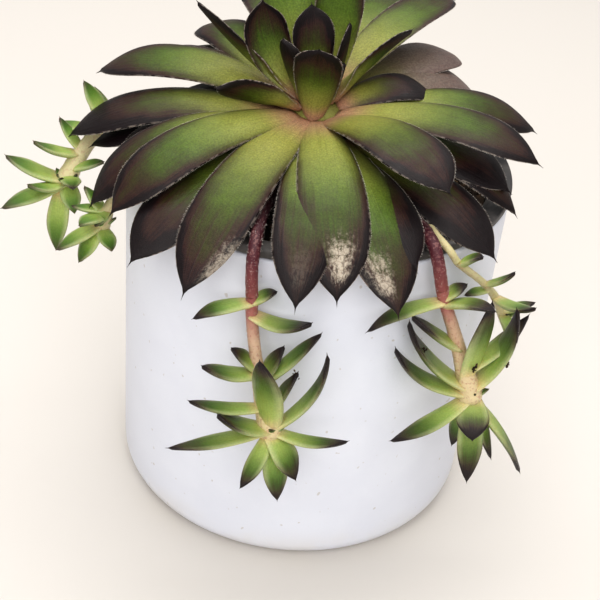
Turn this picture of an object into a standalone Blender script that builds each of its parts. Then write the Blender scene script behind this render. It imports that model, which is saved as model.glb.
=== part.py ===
"""Potted houseleek: a white cover pot, a grey nursery liner, peat, one big rosette and five trailing shoots.

Metres, +Z up. The origin is the middle of the pot's foot, and -Y is the front.
"""

import math

import bmesh
import bpy
from mathutils import Matrix, Vector, noise

MM = 0.001
GAP = 0.0003

# Cover pot: a straight cup with a rounded foot and a rounded rim.
POT_RADIUS = 0.060
POT_HEIGHT = 0.115
POT_WALL = 0.004
POT_FLOOR = 0.006
FOOT_ROUND = 0.0075
RIM_ROUND = 0.0012
INNER_ROUND = 0.004
POT_SIDES = 40

# Nursery liner: a thin tapered cup that hangs in the pot by its lip.
LIP_HEIGHT = 0.003
LIP_INNER_RADIUS = 0.0555
LIP_ROUND = 0.0009
LIP_STEP = 0.0012
LINER_WALL = 0.0009
LINER_TOP_RADIUS = 0.0545
LINER_FLOOR_RADIUS = 0.0430
LINER_BOTTOM = 0.014
DRAIN_HOLES = 5
DRAIN_RADIUS = 0.004
DRAIN_RING_RADIUS = 0.028
DRAIN_SIDES = 12
LINER_SIDES = 32

# Peat: fills the liner to a little below the lip, with a lumpy top.
PEAT_TOP = 0.1115
PEAT_LUMPS = 0.0016
PEAT_SIDES = 32
PEAT_RINGS = 7

# The big rosette stands on a short trunk and leans a little to the front. Above the trunk the core
# widens to where the leaves root, given as (radius, height) from the heart, and closes in a low dome.
HEART = Vector((-0.003, 0.003, 0.1345))
LEAN = math.radians(9)
TRUNK_DEPTH = 0.041
TRUNK_RADIUS = 0.0080
CORE_SIDES = 12
CORE_PROFILE = (
    (0.0080, -0.0165), (0.0112, -0.0135), (0.0118, -0.0085), (0.0106, -0.0054), (0.0076, -0.0028),
    (0.0044, -0.0008), (0, 0.0006),
)

# Each ring of big leaves: how far out and how high its leaves root, how thick they are and how much
# their edges rise, then its leaves as (turn, rise, droop, length, width): the turn about the trunk from
# +X, the slope at the root and the bend down to the tip in degrees, the length and width in millimetres.
# A leaf that lies on its side has its roll in degrees as a sixth value.
LEAF_RINGS = (
    # The youngest leaf in front, which hides the heart.
    (5.2, -2.6, 2.4, 0.30, ((-95, 81, 5, 28.5, 14.5),)),
    # The heart: small, nearly upright leaves.
    (3.8, -0.5, 2.2, 0.30, (
        (112, 75, 4, 29, 13), (178, 67, -6, 23, 10, 45), (148, 76, 10, 16.5, 8), (36, 71, -19, 27, 8, -50),
        (12, 76, 0, 15, 7),
    )),
    # Half-grown leaves that stand out of the heart.
    (5.5, -0.5, 2.4, 0.22, (
        (155, 40, -58, 34, 14, -35), (119, 52, 9, 44, 19), (70, 72, -10, 43, 15), (54, 22, 42, 69, 16),
        (208, 26, 7, 31, 11, 65), (32, 42, 17, 33, 11, -55), (162, 28, -14, 43, 11, 50),
    )),
    # The upper ring of full-grown leaves.
    (7, -3, 3, 0.05, (
        (165, 15, 57, 71, 19), (223, 18, 67, 73, 18), (248, 14, 62, 81, 19), (279, 16, 60, 76, 20),
        (310, 30, 53, 59, 21), (339, 25, 53, 68, 18), (24, 22, 60, 34, 15), (68, 26, 58, 66, 19),
        (112, 22, 56, 68, 19),
    )),
    # The middle ring, in the gaps of the upper one.
    (8.5, -6.5, 2.8, 0, (
        (212, 20, 84, 74, 20), (184, 11, 60, 74, 19), (271, 18, 56, 78, 17), (291, 17, 60, 79, 20),
        (337, 20, 55, 60, 18), (13, 15, 57, 69, 18), (33, 18, 67, 57, 19), (46, 17, 48, 58, 19),
        (88, 16, 58, 67, 19), (128, 14, 56, 67, 19), (151, 12, 54, 66, 18),
    )),
    # The lowest ring: the oldest leaves, which hang over the rim.
    (9.5, -10.5, 2.6, -0.05, (
        (186, 10, 52, 64, 17), (197, 15, 50, 55, 16), (234, 17, 56, 75, 20), (297, 23, 52, 67, 16),
        (318, 18, 54, 69, 19), (124, 10, 40, 67, 18), (137, 10, 46, 62, 18), (335, 27, 80, 66, 15),
        (62, 14, 60, 66, 18), (102, 13, 58, 66, 18),
    )),
)
LEAF_STATIONS = (0.0, 0.16, 0.38, 0.66, 0.81, 0.92, 1.0)
SMALL_STATIONS = (0.0, 0.22, 0.50, 0.74, 0.90, 1.0)
BEND_POWER = 1.6
SMALL_BEND_POWER = 1.3

# A leaf's outline: its width at the root as a share of its widest, where along it is widest, and the
# power by which it rounds off to the tip, higher for a blunter end.
BIG_OUTLINE = (0.42, 0.66, 2.6)
SMALL_OUTLINE = (0.60, 0.50, 1.9)
# A rolled leaf is fully over from this share of its length on.
ROLLED_FROM = 0.35

# The leaf's section: a flat top between two shoulders and a keel below, as shares of its half width and
# of its depth, which thins from the root share to the tip share of the leaf's thickness.
SHOULDER_OUT = 0.45
SHOULDER_HIGH = 0.28
SHOULDER_LIFT = 0.20
KEEL_DEEP = 0.72
ROOT_DEPTH_SHARE = 1.1
TIP_DEPTH_SHARE = 0.5
SMALL_EDGE_RISE = 0.20
SMALL_THICK = 1.2
SMALL_THICK_PER_WIDTH = 0.12

# Trailing shoots. A runner leaves the trunk, crosses the lip and ends where the young plant's own stem
# starts. All points are in millimetres. A leaf is (place along the stem in millimetres, turn, rise,
# droop, length, width), as above.
SHOOTS = {
    "front": {
        "runner": ((-4.4, -3.6, 115.7), (-9, -18, 117.4), (-13.5, -37, 120.0), (-14.6, -50, 121.4),
                   (-14.9, -59.8, 121.0), (-15.1, -63.4, 115.2), (-14.6, -63.6, 106.0)),
        "runner_radius": 1.75,
        "stem": ((-14.5, -63.6, 105.7), (-14, -63.9, 98), (-11.8, -67, 87), (-9, -71, 77),
                 (-6, -73.8, 67), (-5.6, -74.2, 64)),
        "stem_radii": (1.75, 1.7, 1.8, 2.6, 3.6, 1.6),
        "leaves": (
            (2, 209, 4, 21, 18, 6.5), (6, 338, -15, -66, 20, 7.5), (2, 8, 35, 10, 8, 6),
            (23, 178, 40, -5, 11, 6.5), (24, 208, 7, -40, 20, 7.5), (27, 30, 62, 0, 14, 6.5),
            (27, 10, 44, -14, 25, 6.5), (37, 15, 62, -4, 18, 6.5), (34, 204, 3, -36, 25, 6),
            (41, 242, 78, 9, 32, 10.5), (41, 2, 39, -60, 34, 7), (41, 210, 15, -43, 21, 9.5),
            (41, 205, -8, -20, 31, 6.5), (41, 344, -11, -50, 25, 5.5), (42, 248, -42, -45, 20, 5.5),
            (42, 318, -34, 18, 16, 9), (42.5, 296, -58, 17, 21, 8),
        ),
    },
    "right": {
        "runner": ((2.2, -2.2, 115.5), (11, -16, 117.6), (21, -28, 119.6), (29.3, -39.7, 121.0),
                   (33.5, -50.8, 121.3), (35.8, -54.3, 116.5), (38, -53.8, 108.4)),
        "runner_radius": 1.85,
        "stem": ((38.1, -53.8, 108.1), (39.5, -54, 104), (43, -54.5, 96), (47, -55, 86),
                 (51.7, -55.5, 73.4), (52.4, -55.8, 70)),
        "stem_radii": (1.85, 1.8, 1.9, 2.3, 3.8, 1.6),
        "leaves": (
            (4, 210, 4, 34, 26, 6.5), (5, 326, 32, 30, 17, 7), (3, 12, 42, 6, 8, 6),
            (20, 198, 32, -15, 21, 9), (29, 27, 28, -33, 26, 6.5), (31, 318, 77, -16, 30, 10.5),
            (35, 184, 26, -52, 33, 9.5), (36, 18, 47, -62, 33, 9), (37, 189, 8, -62, 32, 8),
            (38, 218, -27, -40, 31, 7), (38, 226, -68, 15, 18, 6), (38, 335, -60, 7, 23, 6),
            (39, 277, -26, 26, 13, 10), (39, 282, -62, 13, 27, 8), (39, 358, -44, 22, 34, 7.5),
        ),
    },
    "side": {
        "runner": ((4.6, 1.5, 115.6), (20, -13.5, 117.4), (30, -31, 119), (35, -45, 120.2),
                   (38.5, -49, 118.6), (41.5, -48.6, 114.5)),
        "runner_radius": 1.1,
        "stem": ((41.8, -48.4, 114.1), (46, -46, 110), (50.5, -42.5, 105), (54, -39, 100), (57, -36, 95),
                 (60, -32, 88), (62, -29, 82)),
        "stem_radii": (1.1, 1.1, 1.1, 1.2, 1.3, 1.5, 1.0),
        "leaves": (
            (1, 339, 46, 18, 8, 6.5), (16, 330, 28, -39, 12, 4.5), (20, 200, -10, 0, 8, 4),
            (26, 303, 5, -45, 20, 6), (35, 8, 10, -20, 11, 5), (37, 300, -20, 10, 11, 5),
            (37, 60, -10, -10, 9, 4.5), (39, 330, -55, 10, 12, 5),
        ),
    },
    "left": {
        "runner": ((-11.6, 6.8, 116.4), (-25, 7.8, 118.0), (-42, 9.2, 119.8), (-56, 10.0, 120.9),
                   (-65.5, 9.8, 118.2)),
        "runner_radius": 1.7,
        "stem": ((-66.2, 9.8, 117.8), (-70, 8.5, 115), (-75, 3.5, 109.5), (-79.3, -4.5, 102), (-80.2, -7, 99)),
        "stem_radii": (1.7, 2.0, 2.4, 3.4, 1.5),
        "leaves": (
            (3, 156, 50, -10, 15.5, 7.5), (4, 120, 30, -20, 14, 7), (8, 168, 8, 2, 13, 6),
            (15, 163, 40, -25, 13, 5.5), (16, 215, 9, -40, 18, 7), (22, 345, 24, -5, 13, 6.5),
            (24, 290, 0, -20, 12, 6.5), (26, 195, 14, -31, 21, 9), (26, 300, -33, 10, 12, 6.5),
            (27, 217, -14, -7, 22, 8.5), (27, 238, 1, -45, 17, 6.5), (28, 260, -63, 21, 22, 7.5),
        ),
    },
    "low": {
        "runner": ((-9.8, -0.1, 116.0), (-22, -10, 117.2), (-38, -19.0, 118.7), (-52.5, -25.6, 120.2),
                   (-57.4, -27.4, 118.4), (-58.8, -28.0, 114.2)),
        "runner_radius": 1.4,
        "stem": ((-58.9, -28.0, 113.8), (-60.5, -28.8, 109), (-62.8, -29.5, 102.5), (-63.3, -29.8, 99)),
        "stem_radii": (1.4, 1.6, 2.6, 1.3),
        "leaves": (
            (7, 190, 0, -16, 11, 5), (7, 252, -15, -10, 8, 5), (9, 165, 48, -6, 11, 6),
            (9, 240, 14, 12, 12, 6.5), (12, 210, -25, -3, 16, 7.5), (13, 228, -47, 3, 13, 7.5),
            (13, 300, -20, -20, 11, 5.5),
        ),
    },
}
STEM_STEPS = 3
STEM_SIDES = 8


def material(name, colour, roughness, metallic=0.0):
    made = bpy.data.materials.new(name)
    made.use_nodes = True
    shader = made.node_tree.nodes["Principled BSDF"]
    shader.inputs["Base Color"].default_value = (*colour, 1.0)
    shader.inputs["Roughness"].default_value = roughness
    shader.inputs["Metallic"].default_value = metallic
    return made


def new_object(name, points, faces, finish=None):
    """A mesh object with its faces pointing out."""
    mesh = bpy.data.meshes.new(name)
    mesh.from_pydata([tuple(p) for p in points], [], faces)
    work = bmesh.new()
    work.from_mesh(mesh)
    bmesh.ops.recalc_face_normals(work, faces=work.faces)
    work.to_mesh(mesh)
    work.free()
    made = bpy.data.objects.new(name, mesh)
    bpy.context.scene.collection.objects.link(made)
    if finish:
        mesh.materials.append(finish)
    return made


def lofted(rings):
    """Points and faces of a closed skin over rings of equal counts; a ring of one point closes an end."""
    points, starts = [], []
    for ring in rings:
        starts.append(len(points))
        points.extend(ring)
    faces = []
    for a, b, first, second in zip(rings, rings[1:], starts, starts[1:]):
        sides = max(len(a), len(b))
        for i in range(sides):
            j = (i + 1) % sides
            if len(a) == 1:
                faces.append((first, second + i, second + j))
            elif len(b) == 1:
                faces.append((first + i, second, first + j))
            else:
                faces.append((first + i, second + i, second + j, first + j))
    for ring, start in ((rings[0], starts[0]), (rings[-1], starts[-1])):
        if len(ring) > 1:
            faces.append(tuple(range(start, start + len(ring))))
    return points, faces


def turned(profile, sides):
    """Rings of a turned shape. The profile is (radius, height) and starts and ends on the axis."""
    rings = []
    for radius, height in profile:
        if radius == 0:
            rings.append([Vector((0, 0, height))])
            continue
        angles = [2 * math.pi * k / sides for k in range(sides)]
        rings.append([Vector((radius * math.cos(a), radius * math.sin(a), height)) for a in angles])
    return rings


def quarter(centre_radius, centre_height, size, start, steps):
    """Profile points of a quarter circle that starts at the angle start, in degrees, and turns left."""
    angles = [math.radians(start + 90 * k / steps) for k in range(steps + 1)]
    return [(centre_radius + size * math.cos(a), centre_height + size * math.sin(a)) for a in angles]


def smooth_path(points, steps):
    """A Catmull-Rom curve through the points, with steps pieces between each two."""
    padded = [points[0] * 2 - points[1], *points, points[-1] * 2 - points[-2]]
    path = []
    for a, b, c, d in zip(padded, padded[1:], padded[2:], padded[3:]):
        for k in range(steps):
            t = k / steps
            path.append(0.5 * (2 * b + (c - a) * t + (2 * a - 5 * b + 4 * c - d) * t * t
                               + (3 * b - a - 3 * c + d) * t ** 3))
    return [*path, points[-1]]


def smooth_values(values, steps):
    """Values between the given ones, one for each point of smooth_path."""
    spread = [a + (b - a) * k / steps for a, b in zip(values, values[1:]) for k in range(steps)]
    return [*spread, values[-1]]


def tube(path, radii, sides):
    """Rings of a round stem along a path."""
    rings = []
    across = None
    for k, point in enumerate(path):
        along = (path[min(k + 1, len(path) - 1)] - path[max(k - 1, 0)]).normalized()
        if across is None:
            across = along.orthogonal().normalized()
        across = (across - along * across.dot(along)).normalized()
        other = along.cross(across)
        angles = [2 * math.pi * n / sides for n in range(sides)]
        rings.append([point + radii[k] * (across * math.cos(a) + other * math.sin(a)) for a in angles])
    return rings


def width_at(s, outline):
    """Half-width of a leaf as a share of its widest, from the root at 0 to the tip at 1."""
    root_share, widest_at, tip_power = outline
    if s < widest_at:
        return root_share + (1 - root_share) * math.sin(math.pi / 2 * s / widest_at)
    return 1 - ((s - widest_at) / (1 - widest_at)) ** tip_power


def leaf_rings(root, shape, thick, edge_rise, stations, bend_power, outline):
    """Rings of a leaf. Its midrib runs out at the turn, starts at the slope rise and bends down by droop."""
    turn, rise, droop, length, width, *roll = shape
    around = math.radians(turn)
    outward = Vector((math.cos(around), math.sin(around), 0))
    side = Vector((-math.sin(around), math.cos(around), 0))
    up = Vector((0, 0, 1))
    rings = []
    point = root.copy()
    before = 0.0
    for s in stations:
        slope = math.radians(rise - droop * ((s + before) / 2) ** bend_power)
        point = point + (outward * math.cos(slope) + up * math.sin(slope)) * (s - before) * length
        before = s
        half = width / 2 * width_at(s, outline)
        if half < 1e-6:
            rings.append([point.copy()])
            continue
        slope = math.radians(rise - droop * s ** bend_power)
        normal = up * math.cos(slope) - outward * math.sin(slope)
        over = math.radians(sum(roll)) * min(1, s / ROLLED_FROM)
        across = side * math.cos(over) + normal * math.sin(over)
        normal = normal * math.cos(over) - side * math.sin(over)
        deep = thick * (ROOT_DEPTH_SHARE + (TIP_DEPTH_SHARE - ROOT_DEPTH_SHARE) * s)
        edge = edge_rise * half
        shoulder = SHOULDER_HIGH * deep + SHOULDER_LIFT * edge
        section = ((-half, edge), (-SHOULDER_OUT * half, shoulder), (SHOULDER_OUT * half, shoulder),
                   (half, edge), (0, -KEEL_DEEP * deep))
        rings.append([point + across * x + normal * z for x, z in section])
    return rings


def fuse(body, others):
    """Joins the other objects to the body in one solid, then removes them."""
    group = bpy.data.collections.new("fused")
    bpy.context.scene.collection.children.link(group)
    for piece in others:
        bpy.context.scene.collection.objects.unlink(piece)
        group.objects.link(piece)
    union = body.modifiers.new("Fuse", "BOOLEAN")
    union.operation = "UNION"
    union.operand_type = "COLLECTION"
    union.collection = group
    union.solver = "EXACT"
    apply_modifiers(body)
    for piece in others:
        bpy.data.objects.remove(piece)
    bpy.data.collections.remove(group)


def apply_modifiers(target):
    """Makes the target's mesh what its modifiers give."""
    graph = bpy.context.evaluated_depsgraph_get()
    finished = bpy.data.meshes.new_from_object(target.evaluated_get(graph))
    target.modifiers.clear()
    target.data = finished


def cut(body, cutter, solver="EXACT"):
    """Takes the cutter's shape out of the body, then removes it."""
    opening = body.modifiers.new("Cut", "BOOLEAN")
    opening.operation = "DIFFERENCE"
    opening.object = cutter
    opening.solver = solver
    apply_modifiers(body)
    bpy.data.objects.remove(cutter)


def make_pot():
    """The slip-cast cover pot: matt white, its foot and its rim rounded."""
    inside = POT_RADIUS - POT_WALL
    profile = [(0, 0)]
    profile += quarter(POT_RADIUS - FOOT_ROUND, FOOT_ROUND, FOOT_ROUND, -90, 5)
    profile += quarter(POT_RADIUS - RIM_ROUND, POT_HEIGHT - RIM_ROUND, RIM_ROUND, 0, 2)
    profile += quarter(inside + RIM_ROUND, POT_HEIGHT - RIM_ROUND, RIM_ROUND, 90, 2)
    profile += [(inside, POT_FLOOR + INNER_ROUND), (inside - INNER_ROUND, POT_FLOOR), (0, POT_FLOOR)]
    finish = material("white_ceramic", (0.86, 0.87, 0.91), 0.45)
    made = new_object("pot", *lofted(turned(profile, POT_SIDES)), finish)
    made.data.shade_smooth()
    made.data.set_sharp_from_angle(angle=math.radians(40))


def make_liner():
    """The nursery liner: thin dark plastic, hung in the pot by its rolled lip, with drain holes."""
    lip_under = POT_HEIGHT + GAP
    lip_top = lip_under + LIP_HEIGHT
    slim = LINER_WALL
    profile = [
        (0, LINER_BOTTOM), (LINER_FLOOR_RADIUS, LINER_BOTTOM), (LINER_TOP_RADIUS, lip_under),
        (POT_RADIUS - LIP_ROUND + GAP, lip_under), (POT_RADIUS + GAP, lip_under + LIP_ROUND),
        (POT_RADIUS + GAP, lip_top - LIP_ROUND), (POT_RADIUS - LIP_ROUND + GAP, lip_top),
        (LIP_INNER_RADIUS, lip_top), (LINER_TOP_RADIUS - slim, lip_top - LIP_STEP),
        (LINER_FLOOR_RADIUS - slim, LINER_BOTTOM + slim * 1.5), (0, LINER_BOTTOM + slim * 1.5),
    ]
    finish = material("dark_plastic", (0.045, 0.042, 0.043), 0.5)
    made = new_object("liner", *lofted(turned(profile, LINER_SIDES)), finish)
    for k in range(DRAIN_HOLES):
        angle = 2 * math.pi * k / DRAIN_HOLES
        centre = Vector((DRAIN_RING_RADIUS * math.cos(angle), DRAIN_RING_RADIUS * math.sin(angle), 0))
        drill = turned([(0, 0), (DRAIN_RADIUS, 0), (DRAIN_RADIUS, 2 * LINER_BOTTOM), (0, 2 * LINER_BOTTOM)],
                       DRAIN_SIDES)
        drill = [[centre + point for point in ring] for ring in drill]
        cut(made, new_object("drill", *lofted(drill)), "MANIFOLD")  # EXACT leaves open edges here
    made.data.shade_smooth()
    made.data.set_sharp_from_angle(angle=math.radians(40))


def leaning(point):
    """A point given from the rosette's heart, in millimetres, in the pot's frame."""
    return HEART + Matrix.Rotation(LEAN, 3, "X") @ (Vector(point) * MM)


def make_peat():
    """The peat: a plug in the liner with a lumpy top and a plain hole for the trunk."""
    low = LINER_BOTTOM + LINER_WALL * 1.5 + GAP
    slope = (LINER_TOP_RADIUS - LINER_FLOOR_RADIUS) / (POT_HEIGHT - LINER_BOTTOM)

    def wall(height):
        return LINER_FLOOR_RADIUS - LINER_WALL - 2 * GAP + slope * (height - LINER_BOTTOM)

    angles = [2 * math.pi * k / PEAT_SIDES for k in range(PEAT_SIDES)]
    rings = turned([(0, low), (wall(low), low), (wall(PEAT_TOP), PEAT_TOP)], PEAT_SIDES)
    for step in range(1, PEAT_RINGS):
        radius = wall(PEAT_TOP) * (1 - step / PEAT_RINGS)
        ring = []
        for angle in angles:
            spot = Vector((radius * math.cos(angle), radius * math.sin(angle), 0))
            lump = noise.noise(spot * 180) * PEAT_LUMPS
            ring.append(spot + Vector((0, 0, PEAT_TOP + lump)))
        rings.append(ring)
    rings.append([Vector((0, 0, PEAT_TOP))])
    made = new_object("peat", *lofted(rings), material("peat", (0.035, 0.022, 0.014), 0.95))
    hole = [(0, -TRUNK_DEPTH - GAP), (TRUNK_RADIUS + GAP, -TRUNK_DEPTH - GAP), (TRUNK_RADIUS + GAP, 0), (0, 0)]
    rings = [[leaning(point / MM) for point in ring] for ring in turned(hole, CORE_SIDES)]
    cut(made, new_object("trunk_hole", *lofted(rings)))


def make_rosette():
    """The big plant: a trunk with a domed top, and every big leaf rooted in it."""
    core = [(0, -TRUNK_DEPTH), (TRUNK_RADIUS, -TRUNK_DEPTH), *CORE_PROFILE]
    rings = [[leaning(point / MM) for point in ring] for ring in turned(core, CORE_SIDES)]
    made = new_object("rosette", *lofted(rings), material("leaf_green", (0.075, 0.115, 0.035), 0.38))
    leaves = []
    for out, height, thick, edge_rise, rows in LEAF_RINGS:
        for shape in rows:
            around = math.radians(shape[0])
            root = Vector((out * math.cos(around), out * math.sin(around), height))
            rings = leaf_rings(root, shape, thick, edge_rise, LEAF_STATIONS, BEND_POWER, BIG_OUTLINE)
            rings = [[leaning(point) for point in ring] for ring in rings]
            leaves.append(new_object("leaf", *lofted(rings)))
    fuse(made, leaves)


def along_path(path, distance):
    """The point that lies this far along a path."""
    for a, b in zip(path, path[1:]):
        step = (b - a).length
        if distance <= step:
            return a.lerp(b, distance / step)
        distance -= step
    return path[-1].copy()


def make_shoot(name, shoot, stem_finish, leaf_finish):
    """One trailing shoot: its runner, and the young plant at its end as a solid of its own."""
    path = smooth_path([Vector(p) * MM for p in shoot["runner"]], STEM_STEPS)
    radii = [shoot["runner_radius"] * MM] * len(path)
    runner = new_object(f"runner_{name}", *lofted(tube(path, radii, STEM_SIDES)), stem_finish)
    runner.data.shade_smooth()
    path = smooth_path([Vector(p) * MM for p in shoot["stem"]], STEM_STEPS)
    radii = smooth_values([r * MM for r in shoot["stem_radii"]], STEM_STEPS)
    young = new_object(f"offset_{name}", *lofted(tube(path, radii, STEM_SIDES)), leaf_finish)
    leaves = []
    for along, *shape in shoot["leaves"]:
        root = along_path(path, along * MM) / MM
        thick = SMALL_THICK + SMALL_THICK_PER_WIDTH * shape[-1]
        rings = leaf_rings(root, shape, thick, SMALL_EDGE_RISE, SMALL_STATIONS, SMALL_BEND_POWER,
                           SMALL_OUTLINE)
        rings = [[point * MM for point in ring] for ring in rings]
        leaves.append(new_object("leaf", *lofted(rings)))
    fuse(young, leaves)


for old in list(bpy.data.objects):
    bpy.data.objects.remove(old)
make_pot()
make_liner()
make_peat()
make_rosette()
red_stem = material("runner_red", (0.22, 0.045, 0.05), 0.5)
pale_stem = material("runner_pale", (0.45, 0.40, 0.20), 0.5)
young_green = material("young_green", (0.19, 0.28, 0.06), 0.4)
for label, parts in SHOOTS.items():
    make_shoot(label, parts, pale_stem if label == "side" else red_stem, young_green)
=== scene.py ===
"""A potted houseleek: white cover pot, grey liner, peat, one big rosette and five trailing shoots."""
import math
import random

import bmesh
import bpy
import numpy as np
from mathutils import Matrix, Vector, noise


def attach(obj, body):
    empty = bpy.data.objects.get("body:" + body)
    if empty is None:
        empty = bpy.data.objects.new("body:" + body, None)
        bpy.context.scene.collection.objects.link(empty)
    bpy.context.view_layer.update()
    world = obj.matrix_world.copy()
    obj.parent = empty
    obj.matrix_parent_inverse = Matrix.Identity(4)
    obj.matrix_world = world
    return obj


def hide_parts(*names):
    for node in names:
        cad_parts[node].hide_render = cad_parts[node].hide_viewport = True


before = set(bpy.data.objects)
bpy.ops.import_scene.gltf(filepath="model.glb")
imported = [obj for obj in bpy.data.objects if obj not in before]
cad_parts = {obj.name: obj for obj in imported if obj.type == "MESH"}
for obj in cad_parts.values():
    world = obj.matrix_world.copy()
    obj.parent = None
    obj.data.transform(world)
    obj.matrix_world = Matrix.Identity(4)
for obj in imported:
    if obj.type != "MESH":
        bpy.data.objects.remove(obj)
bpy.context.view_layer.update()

# The cover pot is slip-cast earthenware with a smooth matt white glaze. It is one thick cup, with a
# generous round at the foot and a small one at the rim, and stands flat on its foot.
MM = 0.001
POT_RADIUS = 0.060
POT_HEIGHT = 0.115
POT_WALL = 0.004
POT_FLOOR = 0.006
FOOT_ROUND = 0.0075
RIM_ROUND = 0.0012
POT_SIDES = 144
# Up to this height above the foot the glaze turns a darker, mottled beige.
FOOT_TINT_HEIGHT = 0.016
GLAZE_COOL = (0.71, 0.735, 0.82)
GLAZE_WHITE = (0.74, 0.765, 0.845)
SPECK_BROWN = (0.45, 0.40, 0.34)
FOOT_TINT_BEIGE = (0.62, 0.58, 0.52)
# An edge lies level when the upward part of its direction is under the first of these. It stands
# upright, and a face looks straight up, when that part is over the second.
LEVEL = 0.1
UPRIGHT = 0.9
SHARP_FROM = math.radians(40)


def edit(piece):
    """Opens a piece in edit mode with nothing else selected."""
    bpy.ops.object.select_all(action="DESELECT")
    piece.select_set(True)
    bpy.context.view_layer.objects.active = piece
    bpy.ops.object.mode_set(mode="EDIT")
    bpy.ops.mesh.select_all(action="DESELECT")


def pick(piece, kind, test):
    """Selects the faces or edges, in edit mode, whose middle and direction pass the test."""
    bpy.ops.mesh.select_mode(type="FACE" if kind == "faces" else "EDGE")
    bpy.ops.mesh.select_all(action="DESELECT")
    work = bmesh.from_edit_mesh(piece.data)
    for element in getattr(work, kind):
        middle = sum((v.co for v in element.verts), Vector()) / len(element.verts)
        if kind == "faces":
            direction = element.normal
        else:
            direction = (element.verts[1].co - element.verts[0].co).normalized()
        element.select_set(test(middle, direction))
    work.select_flush_mode()
    bmesh.update_edit_mesh(piece.data)


def close_edit():
    """Leaves edit mode, puts the piece's place into its mesh and shades it smooth but for its sharp edges."""
    bpy.ops.object.mode_set(mode="OBJECT")
    bpy.ops.object.transform_apply(location=True, rotation=True, scale=True)
    bpy.ops.object.shade_smooth_by_angle(angle=SHARP_FROM)


def feed(tree, socket, value):
    """Links another node's output to the socket, or sets a plain value or a colour on it."""
    if isinstance(value, bpy.types.NodeSocket):
        tree.links.new(value, socket)
    else:
        socket.default_value = (*value, 1) if isinstance(value, tuple) else value


def add_node(tree, kind, sockets=None, **settings):
    """Adds a shader node with these settings and these values or links at its sockets."""
    made = tree.nodes.new(kind)
    for name, value in settings.items():
        setattr(made, name, value)
    for name, value in (sockets or {}).items():
        feed(tree, made.inputs[name], value)
    return made


def new_finish(name, sockets):
    """A material whose Principled shader has these constant values; returns it, its tree and the shader."""
    made = bpy.data.materials.new(name)
    made.use_nodes = True
    shader = made.node_tree.nodes["Principled BSDF"]
    for socket, value in sockets.items():
        feed(made.node_tree, shader.inputs[socket], value)
    return made, made.node_tree, shader


def object_place(tree):
    """Places in the pot's own frame, in metres."""
    return tree.nodes.new("ShaderNodeTexCoord").outputs["Object"]


def spread(tree, value, low, high, to_low=0.0, to_high=1.0, smooth=True):
    """Maps a value's range from low to high on another one, clamped."""
    made = add_node(tree, "ShaderNodeMapRange", {
        "Value": value, "From Min": low, "From Max": high, "To Min": to_low, "To Max": to_high,
    }, interpolation_type="SMOOTHSTEP" if smooth else "LINEAR")
    return made.outputs["Result"]


def maths(tree, operation, first, second=0.0, clamp=False):
    """What a maths node makes of one or two values."""
    made = add_node(tree, "ShaderNodeMath", {0: first, 1: second}, operation=operation, use_clamp=clamp)
    return made.outputs["Value"]


def mix_colour(tree, share, first, second):
    """Two colours mixed, with this share of the second."""
    made = add_node(tree, "ShaderNodeMix", {0: share, 6: first, 7: second}, data_type="RGBA")
    return made.outputs[2]


def clouds(tree, where, scale, detail=3.0, rough=0.55):
    """Cloudy noise from 0 to 1, with this many clouds to the metre or to the map."""
    made = add_node(tree, "ShaderNodeTexNoise", {
        "Vector": where, "Scale": scale, "Detail": detail, "Roughness": rough,
    })
    return made.outputs["Fac"]


def grain_group():
    """Fine grain that ceramic, plastic, peat and skin all show: a height and a mottled mask."""
    group = bpy.data.node_groups.new("fine_grain", "ShaderNodeTree")
    face = group.interface
    face.new_socket("Scale", in_out="INPUT", socket_type="NodeSocketFloat")
    for name in ("Height", "Mottle"):
        face.new_socket(name, in_out="OUTPUT", socket_type="NodeSocketFloat")
    scale = group.nodes.new("NodeGroupInput").outputs["Scale"]
    leave = group.nodes.new("NodeGroupOutput")
    where = object_place(group)
    group.links.new(clouds(group, where, scale, 4.0, 0.6), leave.inputs["Height"])
    group.links.new(clouds(group, where, maths(group, "MULTIPLY", scale, 0.07)), leave.inputs["Mottle"])
    return group


FINE_GRAIN = grain_group()


def grain(tree, scale):
    """The fine grain's height and mottled mask, in one material."""
    made = add_node(tree, "ShaderNodeGroup", node_tree=FINE_GRAIN)
    made.inputs["Scale"].default_value = scale
    return made.outputs["Height"], made.outputs["Mottle"]


def raise_bumps(tree, shader, height, distance):
    """Bumps on a material's surface, this many metres high where the height is 1."""
    made = add_node(tree, "ShaderNodeBump", {"Height": height, "Distance": distance, "Strength": 1.0})
    tree.links.new(made.outputs["Normal"], shader.inputs["Normal"])


bpy.ops.object.select_all(action="DESELECT")
bpy.ops.mesh.primitive_cylinder_add(
    vertices=POT_SIDES, radius=POT_RADIUS, depth=POT_HEIGHT, location=(0, 0, POT_HEIGHT / 2))
cover_pot = bpy.context.object
cover_pot.name = "cover_pot"
edit(cover_pot)
pick(cover_pot, "faces", lambda middle, normal: normal.z > UPRIGHT)
bpy.ops.mesh.inset(thickness=POT_WALL)
bpy.ops.mesh.extrude_region_move(TRANSFORM_OT_translate={"value": (0, 0, POT_FLOOR - POT_HEIGHT)})
pick(cover_pot, "edges", lambda middle, way: abs(way.z) < LEVEL and middle.z < -POT_HEIGHT / 2 + MM)
bpy.ops.mesh.bevel(offset=FOOT_ROUND, segments=9, affect="EDGES")
pick(cover_pot, "edges", lambda middle, way: abs(way.z) < LEVEL and middle.z > POT_HEIGHT / 2 - 0.1 * MM)
bpy.ops.mesh.bevel(offset=RIM_ROUND, segments=5, affect="EDGES")
close_edit()

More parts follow.
